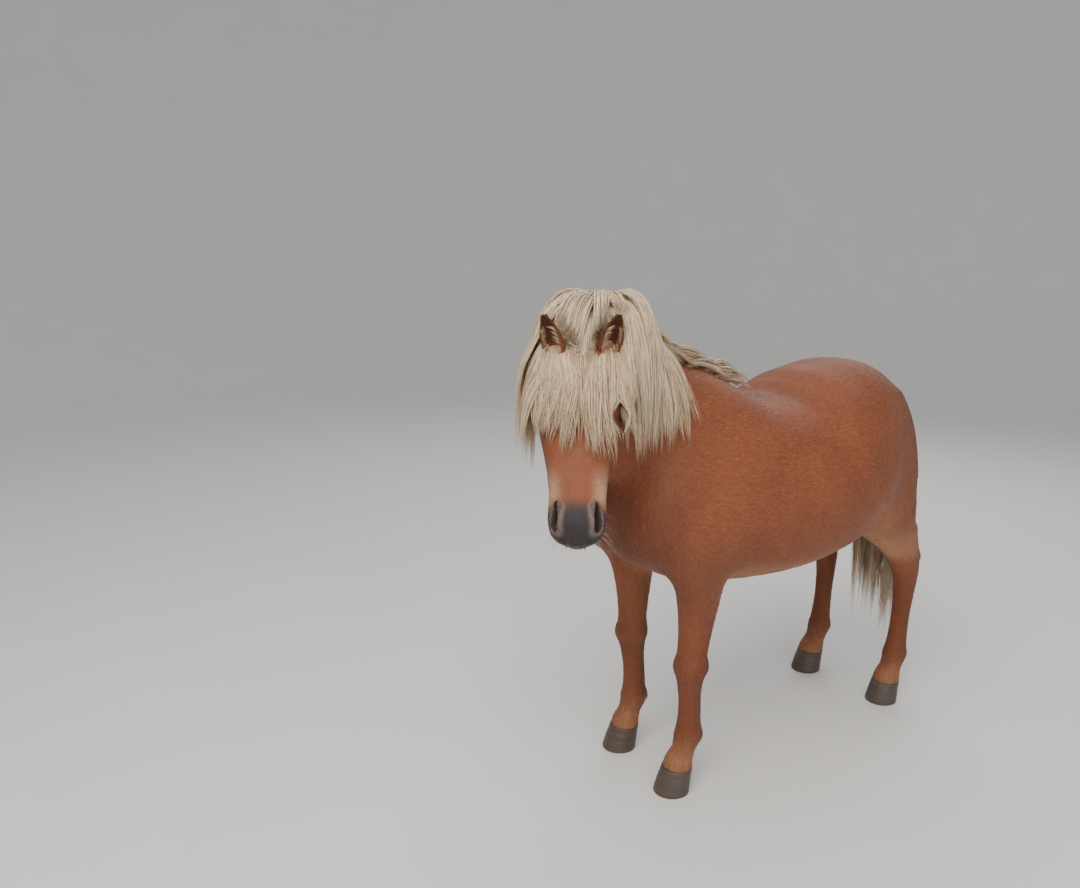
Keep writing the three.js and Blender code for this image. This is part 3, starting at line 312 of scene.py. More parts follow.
def near(p, low, high, form):
    """A form's field, worked out only near the box that holds the form."""
    inside = np.all((p >= np.array(low) - NEAR_MARGIN) & (p <= np.array(high) + NEAR_MARGIN), axis=1)
    d = np.full(len(p), FAR_OFF)
    if inside.any():
        d[inside] = form(p[inside])
    return d


def with_lumps(d, p, lumps):
    """A field with rounded lumps joined on."""
    for form, *sizes, blend in lumps:
        d = smooth_min(d, form(p, *sizes), blend)
    return d


# The pony's forms

# Lumps on the legs and the head: kind of form, its places and sizes, and how softly it joins
FORE_LUMPS = [
    # shoulder, upper arm, knee, back of the knee, tendons and back of the fetlock
    (ellipsoid, (452, 98, 690), (54, 50, 66), 50),
    (ellipsoid, (275, 158, 668), (82, 44, 92), 45),
    (ellipsoid, (324, 119, 318), (40, 40, 30), 14),
    (cone, (300, 114, 340), (302, 113, 322), 15, 13, 16),
    (cone, (300, 113, 290), (294, 113, 140), 9, 12, 12),
    (ellipsoid, (296, 113, 128), (18, 20, 18), 14),
]
HIND_LUMPS = [
    # stifle, point of the hock, the cord above it, two lengths of tendon and back of the fetlock
    (ellipsoid, (-268, 148, 622), (50, 46, 66), 60),
    (cone, (-486, 136, 432), (-532, 134, 424), 22, 13, 18),
    (cone, (-533, 134, 430), (-486, 142, 525), 11, 20, 22),
    (cone, (-519, 133, 402), (-510, 131, 290), 12, 10, 16),
    (cone, (-512, 131, 290), (-508, 128, 150), 10, 12, 12),
    (ellipsoid, (-506, 128, 130), (18, 20, 18), 14),
]
HEAD_LUMPS = [
    # cheek, brow, cheekbone and chin
    (ellipsoid, (118, 42, -118), (74, 30, 66), 22),
    (ellipsoid, (135, 72, -14), (36, 22, 22), 22),
    (cone, (165, 72, -58), (255, 54, -62), 9, 6, 16),
    (ellipsoid, (396, 0, -106), (34, 28, 20), 16),
]
# Hollows over the eyes and between the jaws: centre, radii and how softly they are cut
HEAD_HOLLOWS = [
    ((100, 62, 16), (30, 14, 12), 16),
    ((150, 0, -226), (100, 20, 44), 24),
]
LEG_EXPONENT = 2.1
NECK_EXPONENT = 2


def leg_rows(table):
    rows = [(x, y, z, width, length, length, 1, 0, 0) for x, y, z, length, width in table]
    return resample(rows, 3)


FORE_ROWS = leg_rows(FORE_LEG)
HIND_ROWS = leg_rows(HIND_LEG)
NECK_ROWS = resample(NECK, 4)


def with_stance(p, stance):
    """Each pair of legs is one form, mirrored, with its feet moved apart."""
    move = np.where(p[:, 1] > 0, stance[0], stance[1])
    q = np.abs(p * (0, 1, 0)) + p * (1, 0, 1)
    q[:, 0] -= move * np.clip(1 - p[:, 2] / STANCE_TOP, 0, 1)
    return q


def fore_leg(p):
    q = with_stance(p, FORE_STANCE)
    return with_lumps(bent_loft(FORE_ROWS, q, LEG_EXPONENT), q, FORE_LUMPS)


def hind_leg(p):
    q = with_stance(p, HIND_STANCE)
    return with_lumps(bent_loft(HIND_ROWS, q, LEG_EXPONENT), q, HIND_LUMPS)


def head_axes():
    a = np.array([
        math.cos(HEAD_YAW) * math.cos(HEAD_DOWN),
        math.sin(HEAD_YAW) * math.cos(HEAD_DOWN),
        -math.sin(HEAD_DOWN),
    ])
    s = np.array([-math.sin(HEAD_YAW), math.cos(HEAD_YAW), 0.0])
    n = np.cross(a, s)
    rolled = s * math.cos(HEAD_ROLL) + n * math.sin(HEAD_ROLL)
    return np.array([a, rolled, n * math.cos(HEAD_ROLL) - s * math.sin(HEAD_ROLL)])


HEAD_AXES = head_axes()


def to_head(p):
    return (p - POLL) @ HEAD_AXES.T / HEAD_SCALE


def head_way(v):
    return np.asarray(v, float) @ HEAD_AXES


def from_head(q):
    return POLL + HEAD_SCALE * head_way(q)


def both_sides(q):
    return q * (1, 0, 1) + np.abs(q) * (0, 1, 0)


def head_form(p):
    q = both_sides(to_head(p))
    d = with_lumps(straight_loft(HEAD, q), q, HEAD_LUMPS)
    for centre, radii, blend in HEAD_HOLLOWS:
        d = smooth_max(d, -ellipsoid(q, centre, radii), blend)
    return d * HEAD_SCALE


def trunk(p):
    return straight_loft(TRUNK, p)


def neck(p):
    return bent_loft(NECK_ROWS, p, NECK_EXPONENT)


def breast(p):
    return ellipsoid(both_sides(p), (462, 50, 660), (48, 52, 68))


def dock(p):
    return cone(p, (-420, 0, 925), (-515, 0, 885), 46, 28)


# Forms of the flesh: its field, the corners of its box, and how softly it joins those before it
FLESH = [
    (trunk, (-490, -300, 460), (520, 300, 1020), 1),
    (neck, (200, -150, 650), (700, 200, 1180), 70),
    (breast, (410, -110, 580), (520, 110, 740), 40),
    (fore_leg, (170, -220, 40), (530, 220, 920), 48),
    (hind_leg, (-590, -270, 40), (-190, 270, 1000), 52),
    (dock, (-560, -60, 830), (-370, 60, 990), 40),
    (head_form, (420, -120, 680), (900, 420, 1160), 32),
]


def flesh(p):
    """The whole pony without its ears, eyes, hooves and hair."""
    d = np.full(len(p), 1e9)
    for form, low, high, blend in FLESH:
        d = smooth_min(d, near(p, low, high, form), blend)
    return d


def eye_frame(side):
    """Centre of an eye and its ways: along the lids, towards the brow, and out."""
    centre = from_head((EYE_CENTRE[0], side * EYE_CENTRE[1], EYE_CENTRE[2]))
    out = unit(head_way((0.3, side * 0.94, 0.14)))
    long = head_way((0.95, -side * 0.2, -0.24))
    long = unit(long - dot(long, out) * out)
    high = np.cross(out, long)
    high = high if dot(high, HEAD_AXES[2]) > 0 else -high
    return centre, long, high, out


EYES = {1: eye_frame(1), -1: eye_frame(-1)}


def ear_frame(side):
    """Root of an ear and its ways: to the tip, out of the cup, and across."""
    root = from_head((EAR_ROOT[0], side * EAR_ROOT[1], EAR_ROOT[2]))
    up = unit(head_way((EAR_POINTS[0], side * EAR_POINTS[1], EAR_POINTS[2])))
    face = head_way((EAR_FACES[0], side * EAR_FACES[1], EAR_FACES[2]))
    face = unit(face - dot(face, up) * up)
    return root, up, face, np.cross(up, face)


def almond(x, y, length, height):
    """Field of the shape between two lids of the given half length and half height."""
    radius = (length**2 + height**2) / (2 * height)
    upper = np.hypot(x, y + radius - height) - radius
    lower = np.hypot(x, y - radius + height) - radius
    return np.maximum(upper, lower)


def skin_form(p):
    """The flesh with the eye sockets, nostrils and mouth."""
    d = flesh(p)
    on_head = np.all((p > (560, 20, 690)) & (p < (860, 400, 1130)), axis=1)
    if not on_head.any():
        return d
    w = p[on_head]
    q = both_sides(to_head(w))
    face = d[on_head]
    rim = cone(q, NOSTRIL_BACK, NOSTRIL_FRONT, 12, 16.5) * HEAD_SCALE
    face = smooth_min(face, rim, 9)
    bore = cone(q + (0, -4, -2), NOSTRIL_BACK, NOSTRIL_FRONT, 7.5, 12) * HEAD_SCALE
    face = smooth_max(face, -bore, 4)
    mouth = MOUTH_LEVEL - MOUTH_BEND * (q[:, 0] - MOUTH_MIDDLE) ** 2
    slit = np.maximum(np.abs(q[:, 2] - mouth) - 2.0, MOUTH_CORNER - q[:, 0])
    slit = np.maximum(slit, -(face + 5))
    face = smooth_max(face, -slit, 3)
    for centre, long, high, out in EYES.values():
        from_eye = w - centre
        ball = np.linalg.norm(from_eye, axis=1)
        face = smooth_min(face, ball - EYE_RADIUS - 2.4, 7)
        depth = dot(from_eye, out)
        opening = almond(dot(from_eye, long), dot(from_eye, high), LID_LENGTH + 1, LID_HEIGHT + 1)
        opening = np.maximum(opening, 3 - depth)
        face = smooth_max(face, -np.minimum(opening, ball - EYE_RADIUS - 0.2), 1.5)
    d[on_head] = face
    return d


def coat_depth(p):
    """How deep the skin lies under the coat's surface."""
    q = to_head(p)
    on_face = ramp(q[:, 0], 60, 130) * ramp(p[:, 0], 560, 620)
    on_leg = ramp(p[:, 2], 520, 400)
    return 2.6 - 1.8 * on_face - 1.2 * on_leg * (1 - on_face)


def skin(p):
    return skin_form(p) + coat_depth(p)


def slope_of(field, p, h=0.5):
    """Unit way in which a field rises."""
    steps = np.eye(3) * h
    return unit(np.stack([field(p + s) - field(p - s) for s in steps], 1))


# Closed mesh of a field


def grid_line(low, high, fine_low, fine_high, coarse, fine):
    """Places along one axis, closer together between fine_low and fine_high."""
    before = np.linspace(low, fine_low, max(1, round((fine_low - low) / coarse)), endpoint=False)
    within = np.linspace(fine_low, fine_high, round((fine_high - fine_low) / fine), endpoint=False)
    after = np.linspace(fine_high, high, max(2, round((high - fine_high) / coarse)))
    return np.concatenate([before, within, after])


BLOCK = 6
BATCH = 400000


def net_mesh(field, lines):
    """Points and quads of a field's zero level on a grid. Blocks far from the surface are left out."""
    lines = [np.append(line, line[-1] + 8.0 * np.arange(1, BLOCK - (len(line) - 1) % BLOCK + 1))
             for line in lines]
    counts = [len(line) - 1 for line in lines]
    starts = [np.arange(0, n, BLOCK) for n in counts]
    block = np.stack(np.meshgrid(*starts, indexing="ij"), -1).reshape(-1, 3)
    low = np.stack([lines[c][block[:, c]] for c in range(3)], 1)
    high = np.stack([lines[c][block[:, c] + BLOCK] for c in range(3)], 1)
    reach = np.linalg.norm(high - low, axis=1) / 2
    block = block[np.abs(field((low + high) / 2)) < 1.6 * reach + 6]
    known = np.zeros([n + 1 for n in counts], bool)
    for i, j, k in block:
        known[i:i + BLOCK + 1, j:j + BLOCK + 1, k:k + BLOCK + 1] = True
    nodes = np.argwhere(known)
    values = np.full(known.shape, np.nan, np.float32)
    for s in range(0, len(nodes), BATCH):
        part = nodes[s:s + BATCH]
        places = np.stack([lines[c][part[:, c]] for c in range(3)], 1)
        values[part[:, 0], part[:, 1], part[:, 2]] = field(places)
    return joined_cells(values, known, lines, counts)


def joined_cells(values, known, lines, counts):
    """One point in each cell that the surface crosses, and a quad round each grid edge that it cuts."""
    inside = values < 0
    corners = [(i, j, k) for i in (0, 1) for j in (0, 1) for k in (0, 1)]
    all_known = np.ones(counts, bool)
    filled = np.zeros(counts, np.int8)
    for corner in corners:
        cut = tuple(slice(c, c + n) for c, n in zip(corner, counts))
        all_known &= known[cut]
        filled += inside[cut]
    crossed = all_known & (filled > 0) & (filled < 8)
    cells = np.argwhere(crossed)
    number = np.full(counts, -1, np.int64)
    number[crossed] = np.arange(len(cells))
    places = [np.stack([lines[c][cells[:, c] + corner[c]] for c in range(3)], 1) for corner in corners]
    levels = [values[tuple((cells + corner).T)].astype(float) for corner in corners]
    total = np.zeros((len(cells), 3))
    hits = np.zeros(len(cells))
    for i, a in enumerate(corners):
        for j, b in enumerate(corners):
            if sum(b) - sum(a) != 1 or any(x > y for x, y in zip(a, b)):
                continue
            change = (levels[i] < 0) != (levels[j] < 0)
            t = np.where(change, levels[i] / np.where(change, levels[i] - levels[j], 1), 0)
            total += np.where(change[:, None], places[i] + t[:, None] * (places[j] - places[i]), 0)
            hits += change
    quads = []
    for axis in range(3):
        step = np.eye(3, dtype=int)[axis]
        u, v = [c for c in range(3) if c != axis]
        near_cut = tuple(slice(0, n + 1 - s) for n, s in zip(counts, step))
        far_cut = tuple(slice(s, n + 1) for n, s in zip(counts, step))
        change = (inside[near_cut] != inside[far_cut]) & known[near_cut] & known[far_cut]
        at = np.argwhere(change)
        at = at[(at[:, u] > 0) & (at[:, v] > 0) & (at[:, u] < counts[u]) & (at[:, v] < counts[v])]
        ring = []
        for du, dv in ((-1, -1), (0, -1), (0, 0), (-1, 0)):
            cell = at.copy()
            cell[:, u] += du
            cell[:, v] += dv
            ring.append(number[tuple(cell.T)])
        quad = np.stack(ring, 1)
        turned = inside[near_cut][tuple(at.T)] ^ (axis == 1)
        quads.append(np.where(turned[:, None], quad, quad[:, ::-1]))
    quads = np.concatenate(quads)
    return total / hits[:, None], quads[(quads >= 0).all(1)]


def settled(field, points, passes=2, limit=2.5):
    """Points moved onto a field's zero level."""
    for _ in range(passes):
        way = slope_of(field, points)
        points = points - way * np.clip(field(points), -limit, limit)[:, None]
    return points


# Colours, as linear light

CHESTNUT = np.array([0.208, 0.064, 0.028])
CHESTNUT_DARK = np.array([0.095, 0.028, 0.014])
TAN = np.array([0.400, 0.190, 0.095])
CREAM = np.array([0.500, 0.290, 0.185])
MUZZLE_GREY = np.array([0.036, 0.030, 0.030])
EAR_BROWN = np.array([0.120, 0.045, 0.022])
EYE_DARK = np.array([0.032, 0.014, 0.009])
LIP_GREY = np.array([0.200, 0.135, 0.115])
# painted shade: near black for inside the nostrils and along the mouth's line
NOSTRIL_AND_MOUTH_SHADE = np.array([0.014, 0.008, 0.007])
FLAXEN = np.array([0.740, 0.520, 0.315])
FLAXEN_PALE = np.array([0.920, 0.765, 0.560])
FLAXEN_ROOT = np.array([0.430, 0.190, 0.080])


def mixed(a, b, share):
    return a + (b - a) * share[:, None]


def head_share(p, start, end, clear=610):
    """0 on the body and 1 on the head, rising between two places along the head."""
    return ramp(to_head(p)[:, 0], start, end) * ramp(p[:, 0], 540, clear)


def coat_colours(p):
    """The pony's markings at points on it, with painted shade on the chest, in the nostrils and along the
    mouth's line, each laid over those before it.
    """
    q = to_head(p)
    x, y, z = p[:, 0], np.abs(p[:, 1]), p[:, 2]
    a, s, n = q[:, 0], np.abs(q[:, 1]), q[:, 2]
    head = head_share(p, -20, 60, 600)
    belly = ramp(z, 600, 500) * ramp(z, 430, 480) * ramp(y, 260, 160) * ramp(x, 330, 200)
    flank = np.exp(-(((x + 235) / 85) ** 2 + ((z - 590) / 80) ** 2))
    between_legs = ramp(y, 105, 60) * ramp(z, 620, 520) * (1 - head)
    # painted shade: the front of the chest is darkened as though it lies in shade
    chest = ramp(x, 380, 480) * ramp(z, 860, 700) * ramp(z, 480, 560) * (1 - head)
    nose_side = np.exp(-(((a - 335) / 42) ** 2 + ((n + 40) / 26) ** 2)) * ramp(s, 18, 44)
    muzzle = ramp(a, 348, 388) + 0.6 * ramp(a, 320, 360) * ramp(n, -84, -104)
    chin = ramp(a, 368, 396) * ramp(n, -68, -94)
    from_nostril = cone(both_sides(q), NOSTRIL_BACK, NOSTRIL_FRONT, 9, 13)
    rim = np.exp(-(((from_nostril - 4.5) / 3.2) ** 2))
    # painted shade along the crease of the mouth
    lips = np.exp(-(((n - MOUTH_LEVEL) / 3.5) ** 2)) * ramp(a, MOUTH_CORNER - 4, MOUTH_CORNER + 6)
    layers = [
        (TAN, 0.75 * belly),
        (TAN, 0.55 * flank),
        (TAN, 0.45 * between_legs),
        # painted shade on the chest front
        (CHESTNUT_DARK, 0.55 * chest),
        (CHESTNUT_DARK, 0.35 * ramp(z, 430, 300)),
        (TAN, 0.5 * ramp(z, 160, 90)),
        (CREAM, 0.9 * head * nose_side),
        (MUZZLE_GREY, head * np.clip(muzzle, 0, 1)),
        (LIP_GREY, 0.7 * head * chin),
        (LIP_GREY, 0.75 * head * rim),
        # painted shade inside the nostrils and along the mouth's line
        (NOSTRIL_AND_MOUTH_SHADE, head * ramp(from_nostril, 1.5, -1.5)),
        (NOSTRIL_AND_MOUTH_SHADE, 0.8 * head * lips),
    ]
    for centre, _, _, _ in EYES.values():
        layers.append((EYE_DARK, 0.9 * ramp(np.linalg.norm(p - centre, axis=1), 33, 21)))
    layers.append((TAN, 0.25 * head * ramp(n, -100, -150)))
    colour = np.tile(CHESTNUT, (len(p), 1))
    for tint, share in layers:
        colour = mixed(colour, tint, share)
    return colour


# Meshes


def fill_mesh(mesh, points, groups):
    """Fills a mesh from points in the pony's frame and arrays of faces, one for each face size."""
    loops = np.concatenate([faces.ravel() for faces in groups]).astype(np.int32)
    sizes = np.concatenate([np.full(len(faces), faces.shape[1]) for faces in groups])
    starts = np.concatenate([[0], np.cumsum(sizes)[:-1]]).astype(np.int32)
    mesh.vertices.add(len(points))
    mesh.vertices.foreach_set("co", to_scene(points).astype(np.float32).ravel())
    mesh.loops.add(len(loops))
    mesh.loops.foreach_set("vertex_index", loops)
    mesh.polygons.add(len(sizes))
    mesh.polygons.foreach_set("loop_start", starts)
    mesh.polygons.foreach_set("use_smooth", np.ones(len(sizes), bool))
    mesh.update(calc_edges=True)


def piece(name, points, groups, material, colours=None, uvs=None):
    """A piece that rides on the pony. uvs are one for each point."""
    mesh = bpy.data.meshes.new(name)
    fill_mesh(mesh, points, groups)
    if colours is not None:
        layer = mesh.color_attributes.new("tint", "FLOAT_COLOR", "POINT")
        rgba = np.concatenate([colours, np.ones((len(colours), 1))], 1)
        layer.data.foreach_set("color", rgba.astype(np.float32).ravel())
    if uvs is not None:
        corner = np.empty(len(mesh.loops), np.int32)
        mesh.loops.foreach_get("vertex_index", corner)
        mesh.uv_layers.new(name="OFBake").data.foreach_set("uv", uvs[corner].astype(np.float32).ravel())
    mesh.materials.append(material)
    made = bpy.data.objects.new(name, mesh)
    bpy.context.scene.collection.objects.link(made)
    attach(made, "root")
    return made


def lofted(rings):
    """Points, quads and end fans of rings of equal counts joined in order."""
    rings = np.asarray(rings, float)
    count, sides = rings.shape[:2]
    points = np.vstack([rings.reshape(-1, 3), rings[0].mean(0), rings[-1].mean(0)])
    i = np.arange(sides)
    j = (i + 1) % sides
    quads = [np.stack([r * sides + i, r * sides + j, (r + 1) * sides + j, (r + 1) * sides + i], 1)
             for r in range(count - 1)]
    last = (count - 1) * sides
    start_fan = np.stack([j, i, np.full(sides, count * sides)], 1)
    end_fan = np.stack([last + i, last + j, np.full(sides, count * sides + 1)], 1)
    return points, [np.concatenate(quads), np.concatenate([start_fan, end_fan])]


# Materials

NOISE_LOW = 0.3
NOISE_HIGH = 0.7
HORN_DARK = (0.030, 0.022, 0.018)
HORN_PALE = (0.115, 0.085, 0.062)
FLOOR_DARK = (0.74, 0.74, 0.73)
FLOOR_PALE = (0.78, 0.78, 0.77)


def new_material(name):
    """A material with its node tree and its shader."""
    material = bpy.data.materials.new(name)
    material.use_nodes = True
    tree = material.node_tree
    return material, tree, tree.nodes["Principled BSDF"]


def set_inputs(node, values):
    for name, value in values.items():
        node.inputs[name].default_value = value


def noise(tree, scale, detail, stretch=(1, 1, 1)):
    """Noise at the object's own places, drawn out along an axis by a small stretch."""
    place = tree.nodes.new("ShaderNodeTexCoord")
    mapping = tree.nodes.new("ShaderNodeMapping")
    texture = tree.nodes.new("ShaderNodeTexNoise")
    set_inputs(mapping, {"Scale": stretch})
    set_inputs(texture, {"Scale": scale, "Detail": detail})
    tree.links.new(place.outputs["Object"], mapping.inputs["Vector"])
    tree.links.new(mapping.outputs["Vector"], texture.inputs["Vector"])
    return texture.outputs["Fac"]


def value_range(tree, source, low, high):
    """The usual span of a noise brought to the one from low to high."""
    span = tree.nodes.new("ShaderNodeMapRange")
    set_inputs(span, {"From Min": NOISE_LOW, "From Max": NOISE_HIGH, "To Min": low, "To Max": high})
    tree.links.new(source, span.inputs["Value"])
    return span.outputs["Result"]


def use_tint(tree, shader, factors):
    """Gives a shader the piece's own colours times each of the factors."""
    attribute = tree.nodes.new("ShaderNodeVertexColor")
    attribute.layer_name = "tint"
    colour = attribute.outputs["Color"]
    for factor in factors:
        times = tree.nodes.new("ShaderNodeVectorMath")
        times.operation = "SCALE"
        tree.links.new(colour, times.inputs[0])
        tree.links.new(factor, times.inputs["Scale"])
        colour = times.outputs["Vector"]
    tree.links.new(colour, shader.inputs["Base Color"])


def use_tones(tree, shader, source, dark, light):
    """Gives a shader two colours that a noise mixes."""
    tones = tree.nodes.new("ShaderNodeValToRGB")
    tones.color_ramp.elements[0].color = (*dark, 1)
    tones.color_ramp.elements[1].color = (*light, 1)
    tree.links.new(source, tones.inputs["Fac"])
    tree.links.new(tones.outputs["Color"], shader.inputs["Base Color"])


def add_bump(tree, shader, source, distance, strength):
    bump = tree.nodes.new("ShaderNodeBump")
    set_inputs(bump, {"Distance": distance, "Strength": strength})
    tree.links.new(source, bump.inputs["Height"])
    tree.links.new(bump.outputs["Normal"], shader.inputs["Normal"])


def coat_material(name, roughness, bump):
    """Short shiny hair over the markings, with patches of light and shade."""
    material, tree, shader = new_material(name)
    patches = noise(tree, 9, 3)
    hairs = noise(tree, 260, 2, (0.35, 1, 1))
    use_tint(tree, shader, [value_range(tree, patches, 0.90, 1.10), value_range(tree, hairs, 0.88, 1.12)])
    rough = value_range(tree, hairs, roughness - 0.08, roughness + 0.08)
    tree.links.new(rough, shader.inputs["Roughness"])
    set_inputs(shader, {"Specular IOR Level": 0.22, "Sheen Weight": 0.04, "Sheen Roughness": 0.5})
    add_bump(tree, shader, hairs, bump, 0.6)
    return material


def hair_material():
    """Long flaxen hair: fine streaks over each strand's own colour."""
    material, tree, shader = new_material("flaxen_hair")
    streaks = noise(tree, 330, 2, (1, 1, 0.18))
    tone = noise(tree, 22, 2)
    use_tint(tree, shader, [value_range(tree, streaks, 0.84, 1.12), value_range(tree, tone, 0.90, 1.08)])
    set_inputs(shader, {"Roughness": 0.48, "Specular IOR Level": 0.4})
    add_bump(tree, shader, streaks, 0.001, 0.5)
    return material


def horn_material():
    """Dark hoof with growth rings."""
    material, tree, shader = new_material("hoof_horn")
    rings = noise(tree, 60, 3, (0.12, 0.12, 4))
    grain = noise(tree, 500, 2, (1, 1, 0.08))
    use_tones(tree, shader, rings, HORN_DARK, HORN_PALE)
    tree.links.new(value_range(tree, grain, 0.42, 0.62), shader.inputs["Roughness"])
    add_bump(tree, shader, rings, 0.0012, 0.7)
    return material


def eye_material():
    """The colours of the eye, lightly flecked, under a wet gloss."""
    material, tree, shader = new_material("eye")
    use_tint(tree, shader, [value_range(tree, noise(tree, 900, 3), 0.7, 1.3)])
    set_inputs(shader, {"Roughness": 0.12, "Coat Weight": 1.0, "Coat Roughness": 0.02})
    return material


def floor_material():
    material, tree, shader = new_material("pale_floor")
    use_tones(tree, shader, noise(tree, 3, 2), FLOOR_DARK, FLOOR_PALE)
    set_inputs(shader, {"Roughness": 0.8})
    return material


SKIN_LOOK = coat_material("skin_and_short_coat", 0.58, 0.0008)
TUFT_LOOK = coat_material("coat_tufts", 0.56, 0.0003)
HAIR_LOOK = hair_material()
HORN_LOOK = horn_material()
EYE_LOOK = eye_material()


# Skin


def make_skin():
    lines = [
        grid_line(-600, 900, 575, 850, 8.5, 3.0),
        grid_line(-300, 430, 60, 400, 8.5, 3.0),
        grid_line(46, 1180, 700, 1130, 8.5, 3.0),
    ]
    points, quads = net_mesh(skin, lines)
    points = settled(skin, points)
    colours = coat_colours(points)
    skin_piece = piece("skin", points, [quads], SKIN_LOOK, colours)
    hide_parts("torso", "neck", "head", "fore_leg_left", "fore_leg_right",
                "hind_leg_left", "hind_leg_right")
    return points, quads


skin_points, skin_quads = make_skin()


# Long hair

HANG_STEPS = 24
HAIR_DROOP = 0.02
UNDER_HAIR_DEPTH = 9.0
ROOT_DEPTH = 10.0
# Locks that spread from a centre: how many, turns in degrees from the way the head faces, ring of
# the roots, how steeply they rise, height kept over the body, reach and width
FORELOCK = [
    (15, (-116, 100), 32, 0.1, 4, 225, 46),
    (12, (-110, 62), 20, 0.4, 12, 252, 44),
    (10, (-104, 34), 12, 0.6, 19, 258, 40),
]
CROWN_LOCKS = [
    (9, (-66, 14), 44, 0.1, 11, 362, 44),
    (9, (-70, 22), 20, 0.6, 22, 392, 42),
    (9, (-134, -60), 36, 0.2, 20, 328, 46),
    (9, (-126, -54), 20, 0.8, 46, 378, 44),
    (7, (-100, 60), 8, 1.6, 30, 250, 40),
    (10, (-186, -122), 40, 0.1, 9, 300, 46),
    (9, (-180, -118), 18, 0.6, 20, 330, 44),
]
NEAR_LOCKS = [
    (10, (30, 122), 44, 0.1, 15, 335, 46),
    (9, (28, 110), 16, 0.6, 27, 368, 44),
    (8, (60, 170), 10, 1.0, 22, 260, 42),
]
# Locks along the crest: how many, shares of the neck, way they leave, height, reach, width and droop
MANE_LOCKS = [
    (24, (0.08, 0.80), (-0.60, -1.0, 0.45), 6, 235, 46, 0.020),
    (22, (0.06, 0.74), (-0.85, -0.60, 0.7), 14, 240, 44, 0.012),
    (22, (0.06, 0.62), (-1.0, -0.12, 0.30), 16, 205, 34, 0.007),
    (16, (0.10, 0.56), (-1.0, 0.10, 0.15), 8, 180, 30, 0.006),
    (10, (0.00, 0.16), (-1.0, 0.05, 0.1), 6, 125, 24, 0.007),
]
# Locks of the tail: how many, spread to the sides, how far out they leave, height, reach and width
TAIL_LOCKS = [
    (14, 1.3, 0.10, 5, 660, 38),
    (15, 1.5, 0.30, 11, 715, 38),
    (12, 1.2, 0.48, 18, 735, 36),
]
DOCK_END = np.array([-497.0, 0.0, 888.0])
HEAD_STRANDS = 48
MANE_STRANDS = 34
TAIL_STRANDS = 44
STATIONS = 12
STRAND_WIDTH = 2.6
LENGTH_SPREAD = (0.72, 1.06)
RUDDY_SHARE = 0.14
# Hair lies behind each ear and parts before the left eye, as seen along PHOTO_WAY: how far to each
# side of the ear, how far behind it, how far to each side of the eye, above it, behind and before it
EAR_DENT = 20.0
EAR_BEHIND = 24.0
EYE_PARTING = 17.0
EYE_CLEAR_HEIGHT = 8.0
EYE_CLEAR_BEHIND = 20.0
PARTING_REACH = 60.0
PHOTO_WAY = np.array([0.55, 0.81, 0.22])


def crown_form(p, depth):
    radii = np.array(CROWN_RADII) - depth
    return near(p, (450, -60, 980), (690, 170, 1190), lambda w: ellipsoid(w, CROWN, radii))


def hair_level(p):
    """The level that hair hangs round: the flesh, raised over the crown."""
    return smooth_min(flesh(p), crown_form(p, 0), 40)


def hair_core(p):
    return np.minimum(flesh(p), crown_form(p, CROWN_DEPTH))


def hanging_lines(roots, ways, lengths, lifts, droops):
    """Middles of locks: each leaves its root, bends down under its weight, and is held off the body."""
    at = roots.copy()
    for _ in range(3):
        at -= slope_of(hair_core, at) * np.clip(hair_core(at) + ROOT_DEPTH, -60, 60)[:, None]
    heading = unit(ways)
    step = (lengths / HANG_STEPS)[:, None]
    line = [at.copy()]
    for i in range(1, HANG_STEPS + 1):
        heading = unit(heading - np.array([0, 0, 1.0]) * step * droops[:, None])
        at = at + heading * step
        high = np.minimum(lifts, i * step[:, 0] - ROOT_DEPTH)
        short = high - hair_level(at)
        low = short > 0
        if low.any():
            out = slope_of(hair_level, at[low])
            at[low] += out * short[low, None]
            inward = np.maximum(0, -dot(heading[low], out))
            heading[low] = unit(heading[low] + out * inward[:, None])
        line.append(at.copy())
    return np.stack(line, 1)


def joined(rows):
    return [np.concatenate(column) for column in zip(*rows)]


def layer_of_locks(roots, ways, reaches, lift, width, droop):
    """Roots, ways, reaches, heights, widths and droops of one layer of locks."""
    count = len(roots)
    lifts = lift + rng.uniform(0, 4, count)
    return roots, ways, reaches, lifts, width * rng.uniform(0.8, 1.15, count), np.full(count, droop)


def spread_locks(layers, centre):
    """Locks that spread round a centre."""
    rows = []
    for count, turns, ring, rise, lift, reach, width in layers:
        share = (np.arange(count) + 0.5) / count
        turn = np.radians(turns[0] + (turns[1] - turns[0]) * share + rng.uniform(-4, 4, count)) + HEAD_YAW
        circle = np.stack([np.cos(turn), np.sin(turn), np.zeros(count)], 1)
        ways = circle + (0, 0, rise) + rng.uniform(-0.1, 0.1, (count, 3))
        reaches = reach * rng.uniform(0.85, 1.04, count)
        rows.append(layer_of_locks(centre + ring * circle, ways, reaches, lift, width, HAIR_DROOP))
    return joined(rows)


def mane_locks():
    """Locks along the crest of the neck."""
    rows = []
    for count, span, way, lift, reach, width, droop in MANE_LOCKS:
        share = span[0] + (span[1] - span[0]) * (np.arange(count) + 0.5) / count
        row = NECK_ROWS[np.round(share * (len(NECK_ROWS) - 1)).astype(int)]
        crest = row[:, :3] + unit(row[:, 6:9]) * row[:, 4:5]
        crest = crest + np.stack([rng.uniform(-8, 8, count), rng.uniform(-8, 8, count), np.zeros(count)], 1)
        ways = np.array(way) * rng.uniform(0.85, 1.15, (count, 3)) + rng.uniform(-0.12, 0.12, (count, 3))
        reaches = reach * rng.uniform(0.85, 1.06, count) * (0.75 + 0.25 * share)
        rows.append(layer_of_locks(crest, ways, reaches, lift, width, droop))
    return joined(rows)


